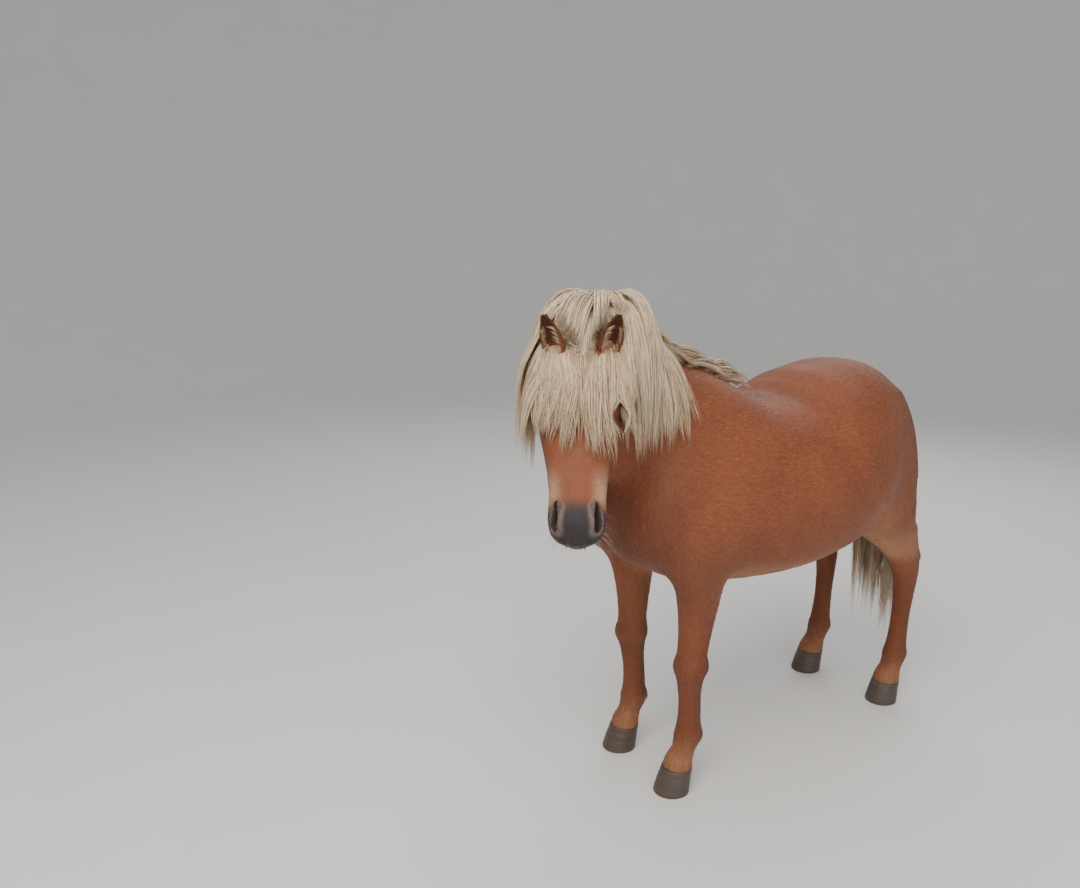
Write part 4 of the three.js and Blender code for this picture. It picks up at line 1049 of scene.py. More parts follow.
def tail_locks():
    """Locks that fan out from the end of the dock."""
    rows = []
    for count, spread, out, lift, reach, width in TAIL_LOCKS:
        turn = spread * (2 * (np.arange(count) + 0.5) / count - 1)
        offset = [rng.uniform(-6, 8, count), 18 * np.sin(turn), rng.uniform(-14, 10, count)]
        ways = np.stack([-out * np.cos(turn), 0.45 * out * np.sin(turn), np.full(count, -0.15)], 1)
        reaches = reach * rng.uniform(0.86, 1.0, count)
        rows.append(layer_of_locks(DOCK_END + np.stack(offset, 1), ways, reaches, lift, width, HAIR_DROOP))
    return joined(rows)


def along_lines(lines, share):
    """Points of lines (locks, steps, 3) at shares (locks, k) of their length."""
    at = np.clip(share, 0, 1) * HANG_STEPS
    i = np.minimum(at.astype(int), HANG_STEPS - 1)
    t = (at - i)[..., None]
    lock = np.arange(len(lines))[:, None]
    return lines[lock, i] * (1 - t) + lines[lock, i + 1] * t


def lock_frames(lines):
    """Ways across and out of each line at each of its steps."""
    along = unit(np.gradient(lines, axis=1))
    flat = lines.reshape(-1, 3)
    out = slope_of(hair_level, flat).reshape(lines.shape)
    across = np.cross(along, out)
    weak = np.linalg.norm(across, axis=2) < 0.25
    for i in range(1, lines.shape[1]):
        turned = dot(across[:, i], across[:, i - 1]) < 0
        across[turned, i] *= -1
        across[weak[:, i], i] = across[weak[:, i], i - 1]
    across = unit(across)
    for _ in range(2):
        across[:, 1:-1] = unit(across[:, :-2] + 2 * across[:, 1:-1] + across[:, 2:])
    return across, unit(np.cross(across, along))


def as_seen(lines, centre, up):
    """Ways across the photograph's view and towards it, and how far lines are aside, above and ahead."""
    across = unit(np.cross(PHOTO_WAY, up))
    ahead = np.cross(up, across)
    rel = lines - centre
    return across, ahead, rel @ across, rel @ up, rel @ ahead


def before_eye(lines, centre):
    """Lines (strands, stations, 3) moved aside so that they pass an eye and don't cover it."""
    across, _, aside, height, front = as_seen(lines, centre, np.array([0, 0, 1.0]))
    zone = ramp(np.abs(height), EYE_CLEAR_HEIGHT + 24, EYE_CLEAR_HEIGHT - 2)
    zone = zone * ramp(front, -EYE_CLEAR_BEHIND - 12, -EYE_CLEAR_BEHIND)
    zone = zone * ramp(front, PARTING_REACH + 25, PARTING_REACH)
    covers = zone * ramp(np.abs(aside), EYE_PARTING * 1.6, EYE_PARTING * 0.8)
    lean = (covers * aside).sum(1)
    side = np.where(lean < 0, -1.0, 1.0)[:, None]
    step = side * np.maximum(0, EYE_PARTING + 0.15 * np.abs(aside) - side * aside) * zone
    step = np.clip(step, -1.6 * EYE_PARTING, 1.6 * EYE_PARTING)
    return lines + step[..., None] * across


def behind_ear(lines, centre, up):
    """Lines pressed back so that they pass behind an ear."""
    _, ahead, aside, height, front = as_seen(lines, centre, up)
    share = ramp(np.abs(aside), EAR_DENT + 30, EAR_DENT) * ramp(np.abs(height), 76, 38)
    step = np.maximum(0, front + EAR_BEHIND) * share
    return lines - step[..., None] * ahead


def part_hair(lines):
    """Lines moved so that both ears and the left eye can be seen."""
    for side in (1, -1):
        root, up, _, _ = ear_frame(side)
        lines = behind_ear(lines, root + up * EAR_LENGTH * HEAD_SCALE / 2, up)
    centre = EYES[1][0] + EYE_PARTING * 0.4 * unit(np.cross(PHOTO_WAY, (0, 0, -1)))
    return before_eye(lines, centre)


def strand_mesh(lines, widths, thickness, across, level):
    """Thin closed strands with a flat three-sided section that taper to a tip."""
    count, stations = lines.shape[:2]
    share = np.linspace(0, 1, stations)
    swell = np.interp(share, [0, 0.12, 0.6, 1], [0.6, 1, 0.9, 0.1])
    half = across * (widths[:, None] * swell * 0.5)[..., None]
    thick = level * (thickness[:, None] * swell)[..., None]
    rings = np.stack([lines - half, lines + half, lines + thick], 2)[:, :-1]
    points = np.concatenate([rings.reshape(count, -1, 3), lines[:, -1:]], 1)
    per = points.shape[1]
    last = 3 * (stations - 2)
    turns = [(0, 1), (1, 2), (2, 0)]
    quads = [(r + i, r + j, r + 3 + j, r + 3 + i) for r in range(0, last, 3) for i, j in turns]
    ends = [(2, 1, 0)] + [(last + i, last + j, per - 1) for i, j in turns]
    base = (np.arange(count) * per)[:, None, None]
    faces = [(np.array(form) + base).reshape(-1, len(form[0])) for form in (quads, ends)]
    return points.reshape(-1, 3), faces, per


def strands_of(locks, strands, thickness):
    """Middles, ways, sizes, shares of their lock's length and tones of the strands of each lock."""
    roots, ways, reaches, lifts, widths, droops = locks
    lines = hanging_lines(roots, ways, reaches * LENGTH_SPREAD[1], lifts, droops)
    across, level = lock_frames(lines)
    lock = np.repeat(np.arange(len(lines)), strands)
    n = len(lock)
    ends = rng.uniform(*LENGTH_SPREAD, n)[:, None]
    share = np.linspace(0, 1, STATIONS)[None] * ends / LENGTH_SPREAD[1]
    u = rng.uniform(-1, 1, n)
    v = rng.uniform(-1, 1, n)
    spread = np.interp(share, [0, 0.12, 0.35, 0.7, 1], [0.45, 0.95, 1.0, 0.82, 0.38])
    phase = rng.uniform(0, 2 * math.pi, (len(lines), 2))[lock]
    own = rng.uniform(0, 2 * math.pi, (n, 2))
    wave = 5.0 * share * np.sin(phase[:, :1] + 7 * share) + 2.2 * share * np.sin(own[:, :1] + 11 * share)
    lift = 2.0 * share * np.sin(phase[:, 1:] + 6 * share) + 1.4 * share * np.sin(own[:, 1:] + 9 * share)
    side_step = (u[:, None] * spread * widths[lock][:, None] / 2 + wave)[..., None]
    out_step = (v[:, None] * spread * thickness / 2 + lift)[..., None]
    side = along_lines(across[lock], share)
    out = along_lines(level[lock], share)
    middle = part_hair(along_lines(lines[lock], share) + side * side_step + out * out_step)
    tone = rng.uniform(0, 1, len(lines))[lock] * 0.6 + rng.uniform(0, 1, n) * 0.4
    size = STRAND_WIDTH * rng.uniform(0.6, 1.3, n)
    return middle, unit(side), unit(out), size, share, tone


def hair_piece(name, locks, strands, thickness, root_share):
    """A piece of locks. Strands are darker up to root_share of their length, and a few are ruddy."""
    middle, side, out, size, share, tone = strands_of(locks, strands, thickness)
    points, groups, per = strand_mesh(middle, size, size * 0.35, side, out)
    ring_share = np.concatenate([np.repeat(share[:, :-1], 3, axis=1), share[:, -1:]], 1)
    pale = FLAXEN + (FLAXEN_PALE - FLAXEN) * tone[:, None, None]
    rooted = ramp(ring_share, root_share, 0.0)[..., None]
    colours = pale * (1 - 0.75 * rooted) + FLAXEN_ROOT * 0.75 * rooted
    ruddy = 0.5 * (rng.uniform(0, 1, len(tone)) < RUDDY_SHARE)[:, None, None]
    colours = colours * (1 - ruddy) + FLAXEN_ROOT * 1.3 * ruddy
    dark = 1 - 0.30 * rng.uniform(0, 1, len(tone))[:, None, None]
    colours = (colours * dark).reshape(-1, 3)
    roots = np.repeat(middle[:, 0], per, axis=0)
    return piece(name, points, groups, HAIR_LOOK, colours, root_uvs(points, roots))


def root_uvs(points, roots):
    """Each tuft or strand as a small patch at its root's place on the skin's unwrap."""
    offset = points - roots
    small = np.stack([offset @ (0.6, 0.64, 0.48), offset @ (-0.77, 0.62, 0.16)], 1)
    reach = np.maximum(np.abs(small).max(), 1)
    return unwrap(roots) + 0.0015 * small / reach


def unwrap(p):
    """The skin's own unwrap: each leg, the trunk and the head rolled out beside each other."""
    q = to_head(p)
    on_head = (q[:, 0] > -20) & (p[:, 0] > 540)
    on_leg = (p[:, 2] < 500) & ~on_head
    head_u = 0.02 + 0.28 * np.clip((q[:, 0] + 60) / 520, 0, 1)
    head_v = 0.72 + 0.26 * (np.arctan2(q[:, 1], q[:, 2] + 62) / (2 * math.pi) + 0.5)
    trunk_u = 0.02 + 0.96 * np.clip((p[:, 0] + 620) / 1320, 0, 1)
    trunk_v = 0.34 + 0.36 * (np.arctan2(p[:, 1], p[:, 2] - 720) / (2 * math.pi) + 0.5)
    fore = p[:, 0] > 0
    left = p[:, 1] > 0
    centre_x = np.where(fore, 322, -450)
    centre_y = np.where(left, 118, -118)
    around = np.arctan2(p[:, 1] - centre_y, p[:, 0] - centre_x) / (2 * math.pi) + 0.5
    leg_u = 0.02 + 0.24 * (2 * fore + left) + 0.22 * around
    leg_v = 0.02 + 0.28 * np.clip(p[:, 2] / 500, 0, 1)
    u = np.where(on_head, head_u, np.where(on_leg, leg_u, trunk_u))
    v = np.where(on_head, head_v, np.where(on_leg, leg_v, trunk_v))
    return np.stack([u, v], 1)


def under_hair(p):
    """Hair lying close on the crown, under the locks."""
    form = smooth_min(flesh(p) + 5, crown_form(p, UNDER_HAIR_DEPTH), 26)
    return np.maximum(form, ellipsoid(p, CROWN, np.array(CROWN_RADII) + 16))


def make_under_hair():
    lines = [np.arange(CROWN[i] - CROWN_RADII[i] - 24, CROWN[i] + CROWN_RADII[i] + 24, 4.0)
             for i in range(3)]
    points, quads = net_mesh(under_hair, lines)
    points = settled(under_hair, points)
    high = ramp(points[:, 2], 1080, 1190)
    colours = mixed(np.tile(FLAXEN_ROOT * 0.7, (len(points), 1)), FLAXEN * 0.75, high)
    piece("under_hair", points, [quads], HAIR_LOOK, colours, unwrap(points))


def make_hair():
    """The mane, the tail and the forelock, whose locks go to its two pieces in turn."""
    crown_top = CROWN + (0, 0, CROWN_RADII[2])
    forelock = spread_locks(FORELOCK, from_head((4, 0, 0)))
    crown = spread_locks(CROWN_LOCKS, crown_top)
    tuft = spread_locks(NEAR_LOCKS, crown_top)
    head_locks = joined([forelock, crown, tuft])
    hair_piece("forelock_near", [column[::2] for column in head_locks], HEAD_STRANDS, 9, 0.08)
    hair_piece("forelock_far", [column[1::2] for column in head_locks], HEAD_STRANDS, 9, 0.08)
    hair_piece("mane", mane_locks(), MANE_STRANDS, 9, 0.30)
    tail = hair_piece("tail_hair", tail_locks(), TAIL_STRANDS, 11, 0.05)
    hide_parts("tail")
    make_under_hair()


make_hair()


# Ears, eyes and hooves

EAR_SECTIONS = 34
EAR_AROUND = 21
EAR_INSET = 0.8
# How far the shell curls round the cup, at the root and at the tip, in radians from its back
EAR_CURL = (2.3, 1.25)
# Iris and pupil: half length and half height
IRIS = (12.5, 11.5)
PUPIL = (7.0, 3.8)
EYE_WHITE = (0.30, 0.22, 0.18)
IRIS_BROWN = (0.050, 0.022, 0.010)
IRIS_RIM = (0.012, 0.008, 0.006)
PUPIL_BLACK = (0.004, 0.004, 0.005)
# Section of a lid: how far from the opening, and how far over the ball
LID_PROFILE = [(-1.2, 0.3), (-0.4, 1.6), (0.6, 2.7), (2.4, 3.1), (5.0, 2.9), (8.0, 2.3), (11.0, 0.8),
               (13.5, -2.5), (10.0, -3.5), (4.0, -2.0), (0.0, -0.6)]
LOWER_LID = 0.82
# Hoof sections: height, share from sole to coronet, growth ridge
HOOF_LEVELS = [
    (0.0, 0.0, -0.8), (1.5, 0.0, 0.0), (7, 0.06, 0.3), (12, 0.14, -0.3), (17, 0.22, 0.3), (22, 0.30, -0.3),
    (27, 0.38, 0.3), (32, 0.47, -0.3), (37, 0.56, 0.3), (42, 0.66, -0.3), (47, 0.76, 0.3), (52, 0.86, -0.2),
    (56, 0.94, 0.6), (59.0, 1.0, 0.2), (HOOF_HEIGHT, 1.0, -1.2),
]
# Hoof sizes: half length and half width of the sole, half width of the coronet, reach of the toe
SOLE_LENGTH = 47
SOLE_WIDTH = 43
CORONET = 37
TOE_REACH = 15
HEEL = 0.86
HOOF_SIDES = 64


def ear_rings(side):
    """Sections of an ear from root to tip: the outside of its shell, then the inside."""
    root, up, face, across = ear_frame(side)
    rings = []
    for share in np.linspace(0, 1, EAR_SECTIONS):
        half = np.interp(share * 8, np.arange(9), EAR_OUTLINE) * EAR_HALF_WIDTH - EAR_INSET
        opening = EAR_CURL[0] + (EAR_CURL[1] - EAR_CURL[0]) * share
        wall = min(3.6 * (1 - 0.55 * share), 0.5 * half)
        depth = min(1.0, share / 0.25)
        centre = root + up * (share * EAR_LENGTH * HEAD_SCALE - EAR_SUNK * HEAD_SCALE)
        turn = np.linspace(-1, 1, EAR_AROUND)
        outer_x = half * np.sin(opening * turn)
        outer_y = -0.8 * half * np.cos(opening * turn)
        rim_x = half * math.sin(opening)
        rim_y = -0.8 * half * math.cos(opening)
        inner_x = (half - wall) * np.sin(opening * turn[::-1])
        inner_y = -0.8 * (half - wall) * np.cos(opening * turn[::-1])
        flat_x = 0.92 * rim_x * turn[::-1]
        flat_y = np.full(EAR_AROUND, rim_y - 0.08 * half)
        inner_x = flat_x + (inner_x - flat_x) * depth
        inner_y = flat_y + (inner_y - flat_y) * depth
        x = np.concatenate([outer_x, inner_x])
        y = np.concatenate([outer_y, inner_y])
        rings.append(centre + x[:, None] * across + y[:, None] * face)
    return np.array(rings), root, up, face, across


def make_ear(word, side):
    rings, root, up, face, across = ear_rings(side)
    points, groups = lofted(rings)
    height = (points - root) @ up / EAR_LENGTH
    colours = mixed(np.tile(CHESTNUT, (len(points), 1)), EAR_BROWN, ramp(height, 0.3, 0.85))
    inside = np.zeros(len(points))
    inner = np.tile(np.arange(2 * EAR_AROUND) >= EAR_AROUND, EAR_SECTIONS)
    inside[:len(inner)] = inner * ramp(height[:len(inner)], 0.1, 0.3)
    colours = mixed(colours, EAR_BROWN * 0.45, 0.85 * inside)
    ear = piece(f"ear_{word}_shell", points, groups, TUFT_LOOK, colours)
    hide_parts(f"ear_{word}")
    make_ear_hair(word, rings, up, face, across)


def make_ear_hair(word, rings, up, face, across):
    """Soft pale hair in the cup and along both rims, and short brown hair on the back."""
    hairs = []
    for _ in range(240):
        r = int(rng.uniform(5, 24))
        near_rim = rng.integers(EAR_AROUND, EAR_AROUND + 4)
        i = int(rng.choice([near_rim, rng.integers(2 * EAR_AROUND - 4, 2 * EAR_AROUND)]))
        inward = unit(rings[r].mean(0) - rings[r, i] + face * 4)
        way = unit(up * rng.uniform(0.5, 1.1) + inward * rng.uniform(0.3, 0.9) + face * 0.35)
        hairs.append((rings[r, i] - inward * 0.5, way, rng.uniform(0.7, 1.3), rng.uniform(10, 24),
                      FLAXEN * rng.uniform(0.45, 0.9)))
    for _ in range(700):
        r = int(rng.uniform(3, EAR_SECTIONS - 2))
        i = int(rng.integers(0, EAR_AROUND))
        out = unit(rings[r, i] - rings[r].mean(0))
        way = unit(up + out * rng.uniform(0.05, 0.16) + across * rng.uniform(-0.15, 0.15))
        shade = CHESTNUT + (EAR_BROWN - CHESTNUT) * ramp(r / EAR_SECTIONS, 0.35, 0.9)
        hairs.append((rings[r, i] - out * 0.4, way, rng.uniform(1.0, 1.8), rng.uniform(6, 11),
                      shade * rng.uniform(0.8, 1.2)))
    plain_strands(f"ear_{word}_hair", hairs, 0.1)


def plain_strands(name, hairs, bend):
    """Single hairs that bend down a little. Each has a root, a way, a width, a length and a colour."""
    roots, ways, sizes, lengths, colours = (np.array(column) for column in zip(*hairs))
    share = np.linspace(0, 1, 5)[None, :, None]
    lines = roots[:, None] + ways[:, None] * lengths[:, None, None] * share
    lines = lines - np.array([0, 0, bend]) * lengths[:, None, None] * share**2
    side = unit(np.cross(ways, ways[:, [1, 2, 0]] + (0.1, 0.2, 0.3)))
    level = unit(np.cross(side, ways))
    across = np.repeat(side[:, None], 5, axis=1)
    up = np.repeat(level[:, None], 5, axis=1)
    points, groups, per = strand_mesh(lines, sizes, sizes * 0.6, across, up)
    tints = np.repeat(colours, per, axis=0)
    uvs = root_uvs(points, np.repeat(roots, per, axis=0))
    return piece(name, points, groups, HAIR_LOOK, tints, uvs)


def make_eye(word, side):
    """A ball with a clear bulge, its iris and pupil in the colours of its points."""
    centre, long, high, out = EYES[side]
    rings = []
    angles = np.concatenate([np.linspace(0.02, 1.15, 30), np.linspace(1.2, math.pi - 0.05, 14)])
    turn = np.linspace(0, 2 * math.pi, 48, endpoint=False)
    circle = np.cos(turn)[:, None] * long + np.sin(turn)[:, None] * high
    for angle in angles:
        bulge = 1 + 0.05 * math.exp(-(angle / 0.55) ** 2)
        ring = (out * math.cos(angle) + math.sin(angle) * circle) * (EYE_RADIUS - 0.1) * bulge
        rings.append(centre + ring)
    points, groups = lofted(rings)
    from_eye = points - centre
    x, y = dot(from_eye, long), dot(from_eye, high)
    ahead = dot(from_eye, out) > 0
    iris = np.hypot(x / IRIS[0], y / IRIS[1])
    pupil = np.hypot(x / PUPIL[0], y / PUPIL[1])
    colours = np.tile(EYE_WHITE, (len(points), 1))
    for inside, colour in ((iris < 1.08, IRIS_RIM), (iris < 1.0, IRIS_BROWN), (pupil < 1.0, PUPIL_BLACK)):
        colours[inside & ahead] = colour
    ball = piece(f"eye_{word}_ball", points, groups, EYE_LOOK, colours)
    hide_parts(f"eye_{word}")
    make_lids(word, side)


def lid_edge(share, upper):
    """Places of a lid's edge along the almond, in the eye's frame: x along, y up."""
    x = LID_LENGTH * (2 * share - 1)
    radius = (LID_LENGTH**2 + LID_HEIGHT**2) / (2 * LID_HEIGHT)
    y = np.sqrt(np.maximum(radius**2 - x**2, 0)) - (radius - LID_HEIGHT)
    return x, y if upper else -LOWER_LID * y


def make_lids(word, side):
    """Upper and lower lid: thick rolled edges on the ball that run out into the skin."""
    centre, long, high, out = EYES[side]
    share = np.linspace(0.0, 1.0, 41)
    fade = np.sin(np.pi * np.clip(share, 0.02, 0.98)) ** 0.35
    for name, sign in (("upper", 1), ("lower", -1)):
        x, y = lid_edge(share, sign > 0)
        rows = []
        for away, rise in LID_PROFILE:
            px = x * (1 + 0.028 * away)
            py = y + sign * away * fade
            ball = np.sqrt(np.maximum(EYE_RADIUS**2 - px**2 - py**2, 9))
            way = unit(px[:, None] * long + py[:, None] * high + ball[:, None] * out)
            rows.append(centre + way * (EYE_RADIUS + rise * (0.55 + 0.45 * fade))[:, None])
        points, groups = lofted(np.stack(rows, 1))
        from_edge = np.concatenate([np.tile([away for away, _ in LID_PROFILE], len(share)), [0, 0]])
        colours = mixed(np.tile(EYE_DARK * 0.6, (len(points), 1)), EYE_DARK * 1.8, ramp(from_edge, 2, 12))
        piece(f"lid_{name}_{word}", points, groups, SKIN_LOOK, colours)
    make_lashes(word, centre, long, high, out)


def make_lashes(word, centre, long, high, out):
    hairs = []
    for share in rng.uniform(0.08, 0.92, 60):
        x, y = lid_edge(share, True)
        ball = math.sqrt(max(EYE_RADIUS**2 - x**2 - y**2, 9))
        root = centre + unit(x * long + y * high + ball * out) * (EYE_RADIUS + 2.2)
        way = unit(out * 0.9 + high * rng.uniform(-0.1, 0.5) + long * rng.uniform(-0.35, 0.35))
        hairs.append((root, way, rng.uniform(0.5, 0.8), rng.uniform(9, 16),
                      EAR_BROWN * rng.uniform(0.3, 0.8)))
    plain_strands(f"lashes_{word}", hairs, 0.5)


def make_whiskers():
    """Feelers on the lips, the chin and round the nostrils."""
    hairs = []
    for _ in range(90):
        a = rng.uniform(352, 424)
        angle = rng.uniform(-1, 1)
        q = (a, 58 * math.sin(angle * 1.5), -78 - 45 * math.cos(angle) * rng.uniform(0.2, 1.0))
        at = settled(skin, from_head(q)[None], 6, 30)
        out = slope_of(skin, at)[0]
        way = unit(out + HEAD_AXES[0] * rng.uniform(0.0, 0.5) + rng.uniform(-0.25, 0.25, 3))
        hairs.append((at[0] - out, way, rng.uniform(0.35, 0.6), rng.uniform(14, 38),
                      FLAXEN * rng.uniform(0.5, 1.0)))
    plain_strands("whiskers", hairs, 0.25)


def make_hoof(pair, word, side, table, stance):
    """The wall of a hoof, with a cleft between the heels."""
    x, y, z = table[-1][:3]
    x += stance[0 if side > 0 else 1] * (1 - z / STANCE_TOP)
    angle = np.linspace(0, 2 * math.pi, HOOF_SIDES, endpoint=False)
    length = SOLE_LENGTH * np.where(np.cos(angle) < 0, HEEL, 1)
    rings = []
    for height, share, ridge in HOOF_LEVELS:
        half_length = length + (CORONET - length) * share + ridge
        half_width = SOLE_WIDTH + (CORONET - SOLE_WIDTH) * share + ridge
        cleft = 1 - 0.10 * np.exp(-((angle - math.pi) / 0.22) ** 2) * (1 - 0.6 * share)
        across = side * y + half_width * np.sin(angle)
        along = x + TOE_REACH * (1 - share) + half_length * cleft * np.cos(angle)
        rings.append(np.stack([along, across, np.full(HOOF_SIDES, height)], 1))
    points, groups = lofted(rings)
    hoof = piece(f"{pair}_hoof_{word}_wall", points, groups, HORN_LOOK)
    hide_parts(f"{pair}_hoof_{word}")


for word, side in (("left", 1), ("right", -1)):
    make_ear(word, side)
    make_eye(word, side)
    make_hoof("fore", word, side, FORE_LEG, FORE_STANCE)
    make_hoof("hind", word, side, HIND_LEG, HIND_STANCE)
make_whiskers()


# Coat

COAT_PIECE_TUFTS = 19000
# Tuft from root to tip: share of its length, and share of the tip's lift
TUFT_STEPS = ((0.0, 0.0), (0.45, 0.55), (1.0, 1.0))
TUFT_SUNK = 0.7
TUFT_QUADS = ((0, 1, 4, 3), (1, 2, 5, 4), (2, 0, 3, 5))
TUFT_ENDS = ((2, 1, 0), (3, 4, 6), (4, 5, 6), (5, 3, 6))
# Colour factors at a tuft's seven points (root sides and ridge, widest part's sides and ridge, tip):
# painted shade at the sunk root, painted light along the ridge and towards the tip
TUFT_PAINTED_SHADING = (0.95, 0.95, 0.98, 1.0, 1.0, 1.02, 1.06)
# Whorl on the left flank and how far it reaches
WHORL = (-232.0, 215.0, 640.0)
WHORL_REACH = 75
# Lowest place of the coat, just over the hooves
COAT_EDGE = 61


def lie_of_coat(p, out):
    """Way the hair lies at points of the skin, along the skin."""
    x, z = p[:, 0], p[:, 2]
    beside = np.sign(to_head(p)[:, 1])[:, None] * HEAD_AXES[1]
    way = np.tile([-1.0, 0.0, -0.35], (len(p), 1)) + ramp(z, 760, 560)[:, None] * (0.2, 0, -0.25)
    turns = [
        # rump, neck, chest, legs and head
        (np.array([-0.55, 0, -0.85]), ramp(x, -260, -420)),
        (np.array([-0.75, 0, -0.65]), ramp(x, 250, 420) * ramp(z, 700, 820)),
        (np.array([0.1, 0, -1.0]), ramp(x, 400, 480) * ramp(z, 900, 780)),
        (np.array([-0.12, 0, -1.0]), ramp(z, 560, 420)),
        (HEAD_AXES[0] + 0.25 * beside - 0.12 * HEAD_AXES[2], head_share(p, 10, 90)),
    ]
    for turned, share in turns:
        way = mixed(way, turned, share)
    for side in (1, -1):
        from_whorl = p - np.array(WHORL) * (1, side, 1)
        far = np.linalg.norm(from_whorl, axis=1)
        swirl = np.cross(out, from_whorl) * -side + 0.9 * from_whorl
        way = mixed(way, unit(swirl), np.exp(-((far / WHORL_REACH) ** 2)) * (p[:, 1] * side > 0))
    waves = np.array([(0.021, 0.013, 0.017), (0.011, 0.023, -0.019), (-0.017, 0.019, 0.013)])
    way = way + 0.22 * np.sin(p @ waves.T) + rng.normal(0, 0.10, p.shape)
    return unit(way - dot(way, out)[:, None] * out)


def tuft_room(p):
    """Skin area in square millimetres that each tuft has."""
    head = head_share(p, 0, 80)
    muzzle = ramp(to_head(p)[:, 0], 330, 370) * head
    leg = ramp(p[:, 2], 480, 380) * (1 - head)
    return (31 * (1 - head) + 12 * head) * (1 - 0.35 * leg) * (1 - 0.35 * muzzle)


def tuft_sizes(p):
    """Length, width and lift of the tips."""
    head = head_share(p, 0, 80)
    muzzle = ramp(to_head(p)[:, 0], 340, 380) * head
    leg = ramp(p[:, 2], 500, 380) * (1 - head)
    fetlock = ramp(p[:, 2], 165, 120) * (1 - head)
    belly = ramp(p[:, 2], 540, 505) * ramp(p[:, 0], -260, -200) * ramp(p[:, 0], 330, 280)
    length = 19 - 9 * head - 4.5 * muzzle - 7 * leg + 9 * fetlock + 8 * belly
    width = 3.6 - 1.8 * head - 0.8 * muzzle - 1.0 * leg
    lift = 0.7 - 0.3 * head - 0.1 * muzzle - 0.1 * leg + 1.3 * fetlock + 1.8 * belly
    return length, width, lift


def scattered(points, quads):
    """Random places over the skin, as many as have room on each face."""
    a, b, c, d = (points[quads[:, i]] for i in range(4))
    area = np.linalg.norm(np.cross(c - a, d - b), axis=1) / 2
    centre = (a + b + c + d) / 4
    count = rng.poisson(area / tuft_room(centre))
    face = np.repeat(np.arange(len(quads)), count)
    u = rng.uniform(0, 1, (len(face), 1))
    v = rng.uniform(0, 1, (len(face), 1))
    return (a[face] * (1 - u) + b[face] * u) * (1 - v) + (d[face] * (1 - u) + c[face] * u) * v


def bare_places(p):
    """True where no tuft grows: the eyes, the nostrils and the hooves."""
    bare = p[:, 2] < COAT_EDGE
    for centre, _, _, _ in EYES.values():
        bare |= np.linalg.norm(p - centre, axis=1) < EYE_RADIUS + 5
    bare |= cone(both_sides(to_head(p)), NOSTRIL_BACK, NOSTRIL_FRONT, 9, 12) < 1.5
    return bare


def tuft_mesh(roots, way, out, length, width, lift):
    """Flat three-sided tufts: sunk root, widest part, and a tip that lifts off the skin."""
    side = np.cross(out, way)
    lines = []
    for share, height in TUFT_STEPS:
        at = roots + way * (length * share)[:, None]
        lines.append(at - out * (skin(at) - lift * height + TUFT_SUNK * (share == 0))[:, None])
    start, middle, tip = lines
    half = (width / 2)[:, None]
    thick = (0.07 * width)[:, None]
    points = np.stack([start - side * half * 0.6, start + side * half * 0.6, start + out * thick * 0.8,
                       middle - side * half, middle + side * half, middle + out * thick, tip], 1)
    base = (np.arange(len(roots)) * len(TUFT_PAINTED_SHADING))[:, None, None]
    faces = [(np.array(form) + base).reshape(-1, len(form[0])) for form in (TUFT_QUADS, TUFT_ENDS)]
    return points.reshape(-1, 3), faces


def make_coat():
    roots = scattered(skin_points, skin_quads)
    roots = roots[~bare_places(roots)]
    out = slope_of(skin, roots)
    way = lie_of_coat(roots, out)
    length, width, lift = tuft_sizes(roots)
    n = len(roots)
    length = length * rng.uniform(0.75, 1.25, n)
    width = width * rng.uniform(0.8, 1.25, n)
    lift = lift * rng.uniform(0.3, 1.25, n)
    tint = coat_colours(roots) * rng.uniform(0.86, 1.15, (n, 1))
    order = np.argsort(roots[:, 0] + 0.3 * roots[:, 2])
    per = len(TUFT_PAINTED_SHADING)
    for number, start in enumerate(range(0, n, COAT_PIECE_TUFTS)):
        part = order[start:start + COAT_PIECE_TUFTS]
        points, faces = tuft_mesh(*(column[part] for column in (roots, way, out, length, width, lift)))
        # painted shade at each tuft's root and painted light on its ridge and tip
        colours = np.repeat(tint[part], per, axis=0) * np.tile(TUFT_PAINTED_SHADING, len(part))[:, None]
        uvs = root_uvs(points, np.repeat(roots[part], per, axis=0))
        made = piece(f"coat_{number:02d}", points, faces, TUFT_LOOK, colours, uvs)
        made.data.polygons.foreach_set("use_smooth", np.zeros(len(made.data.polygons), bool))


make_coat()


# Camera, light and floor

# The photograph's camera: place in the pony's own frame, turn and dip of its view in degrees, focal
# length as a share of the photograph's width, and width of the sensor
CAMERA_PLACE = (1737, 1540, 1305)
CAMERA_TURN = 235.7
CAMERA_DIP = 12.65
FOCAL_SHARE = 890 / 1080
SENSOR_WIDTH = 36
# Round studio, in metres
FLOOR_RADIUS = 6.0
WALL_CURVE = 4.0
WALL_TOP = 7.0
FLOOR_SIDES = 72


def aimed(data, place, way):
    """An object for a camera or a light that stands at a place and looks along a way."""
    holder = bpy.data.objects.new(data.name, data)
    turned = Vector(way).to_track_quat("-Z", "Y").to_matrix().to_4x4()
    holder.matrix_world = Matrix.Translation(Vector(place)) @ turned
    bpy.context.scene.collection.objects.link(holder)
    return holder


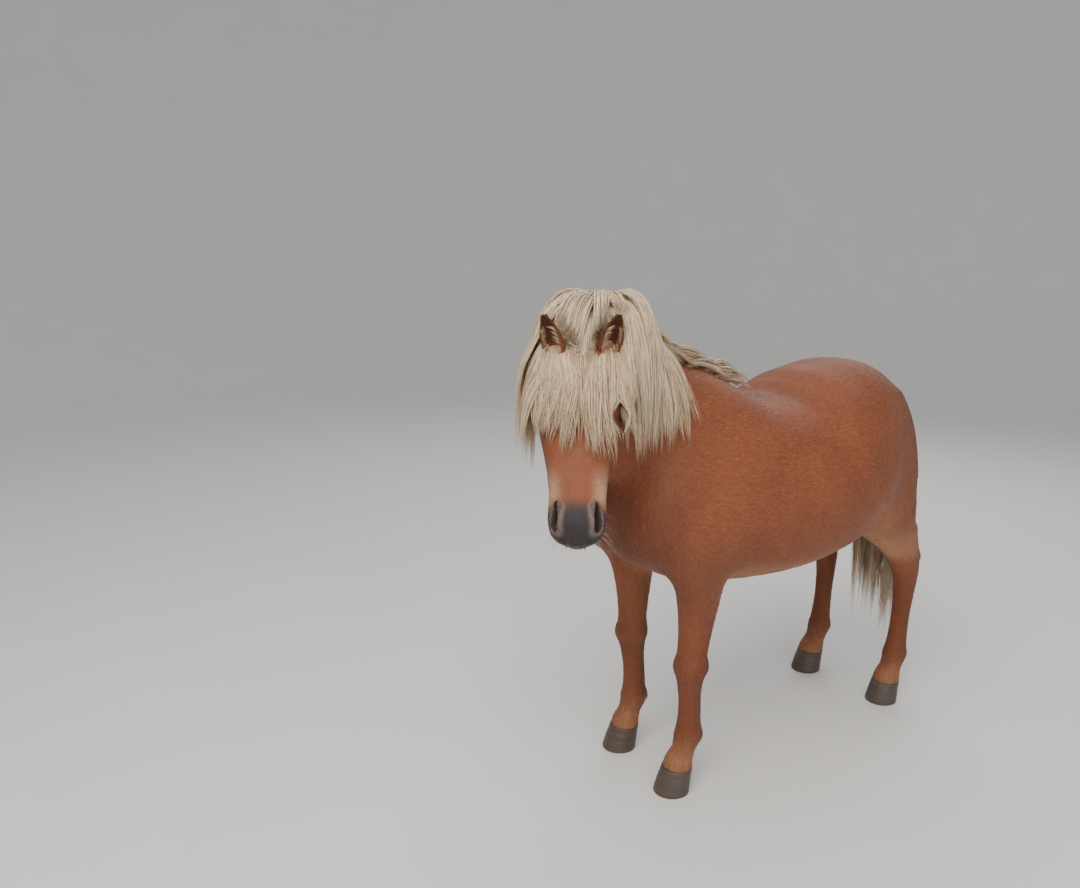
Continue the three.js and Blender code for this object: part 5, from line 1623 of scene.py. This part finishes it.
def make_camera():
    """Stands where the photograph was taken from."""
    turn, dip = math.radians(CAMERA_TURN), math.radians(CAMERA_DIP)
    way = (math.cos(dip) * math.cos(turn), math.cos(dip) * math.sin(turn), -math.sin(dip))
    camera = bpy.data.cameras.new("camera")
    camera.sensor_fit = "HORIZONTAL"
    camera.sensor_width = SENSOR_WIDTH
    camera.lens = SENSOR_WIDTH * FOCAL_SHARE
    camera.clip_start = 0.05
    bpy.context.scene.camera = aimed(camera, to_scene(CAMERA_PLACE), way)


def area_light(name, place, target, size, power, colour):
    light = bpy.data.lights.new(name, "AREA")
    light.size = size
    light.energy = power
    light.color = colour
    aimed(light, place, Vector(target) - Vector(place))


def make_lights():
    area_light("key", (2.2, 1.2, 3.6), (0, 0, 0.6), 2.8, 150, (1.0, 0.95, 0.88))
    area_light("fill", (1.2, 3.6, 1.6), (0, 0, 0.6), 3.0, 45, (0.92, 0.96, 1.0))
    area_light("rim", (-2.6, -1.6, 3.0), (0, 0, 0.8), 2.6, 50, (1.0, 0.98, 0.95))
    world = bpy.data.worlds.new("studio")
    world.use_nodes = True
    set_inputs(world.node_tree.nodes["Background"], {"Color": (0.90, 0.90, 0.90, 1), "Strength": 0.55})
    bpy.context.scene.world = world


def make_floor():
    """A round studio: a level floor that curves up into a wall all round."""
    rows = [(reach, 0.0) for reach in np.linspace(0.4, FLOOR_RADIUS, 12)]
    for turn in np.radians(np.arange(6, 91, 6)):
        rows.append((FLOOR_RADIUS + WALL_CURVE * math.sin(turn), WALL_CURVE * (1 - math.cos(turn))))
    rows.append((FLOOR_RADIUS + WALL_CURVE, WALL_TOP))
    turns = np.linspace(0, 2 * math.pi, FLOOR_SIDES, endpoint=False)
    points = [(0.0, 0.0, 0.0)]
    points += [(reach * math.cos(t), reach * math.sin(t), high) for reach, high in rows for t in turns]
    around = [(i, (i + 1) % FLOOR_SIDES) for i in range(FLOOR_SIDES)]
    faces = [(0, 1 + i, 1 + j) for i, j in around]
    for r in range(len(rows) - 1):
        low, top = 1 + FLOOR_SIDES * r, 1 + FLOOR_SIDES * (r + 1)
        faces += [(low + i, top + i, top + j, low + j) for i, j in around]
    mesh = bpy.data.meshes.new("floor")
    mesh.from_pydata(points, [], faces)
    mesh.polygons.foreach_set("use_smooth", np.ones(len(faces), bool))
    mesh.materials.append(floor_material())
    floor = bpy.data.objects.new("floor", mesh)
    bpy.context.scene.collection.objects.link(floor)


make_camera()
make_lights()
make_floor()
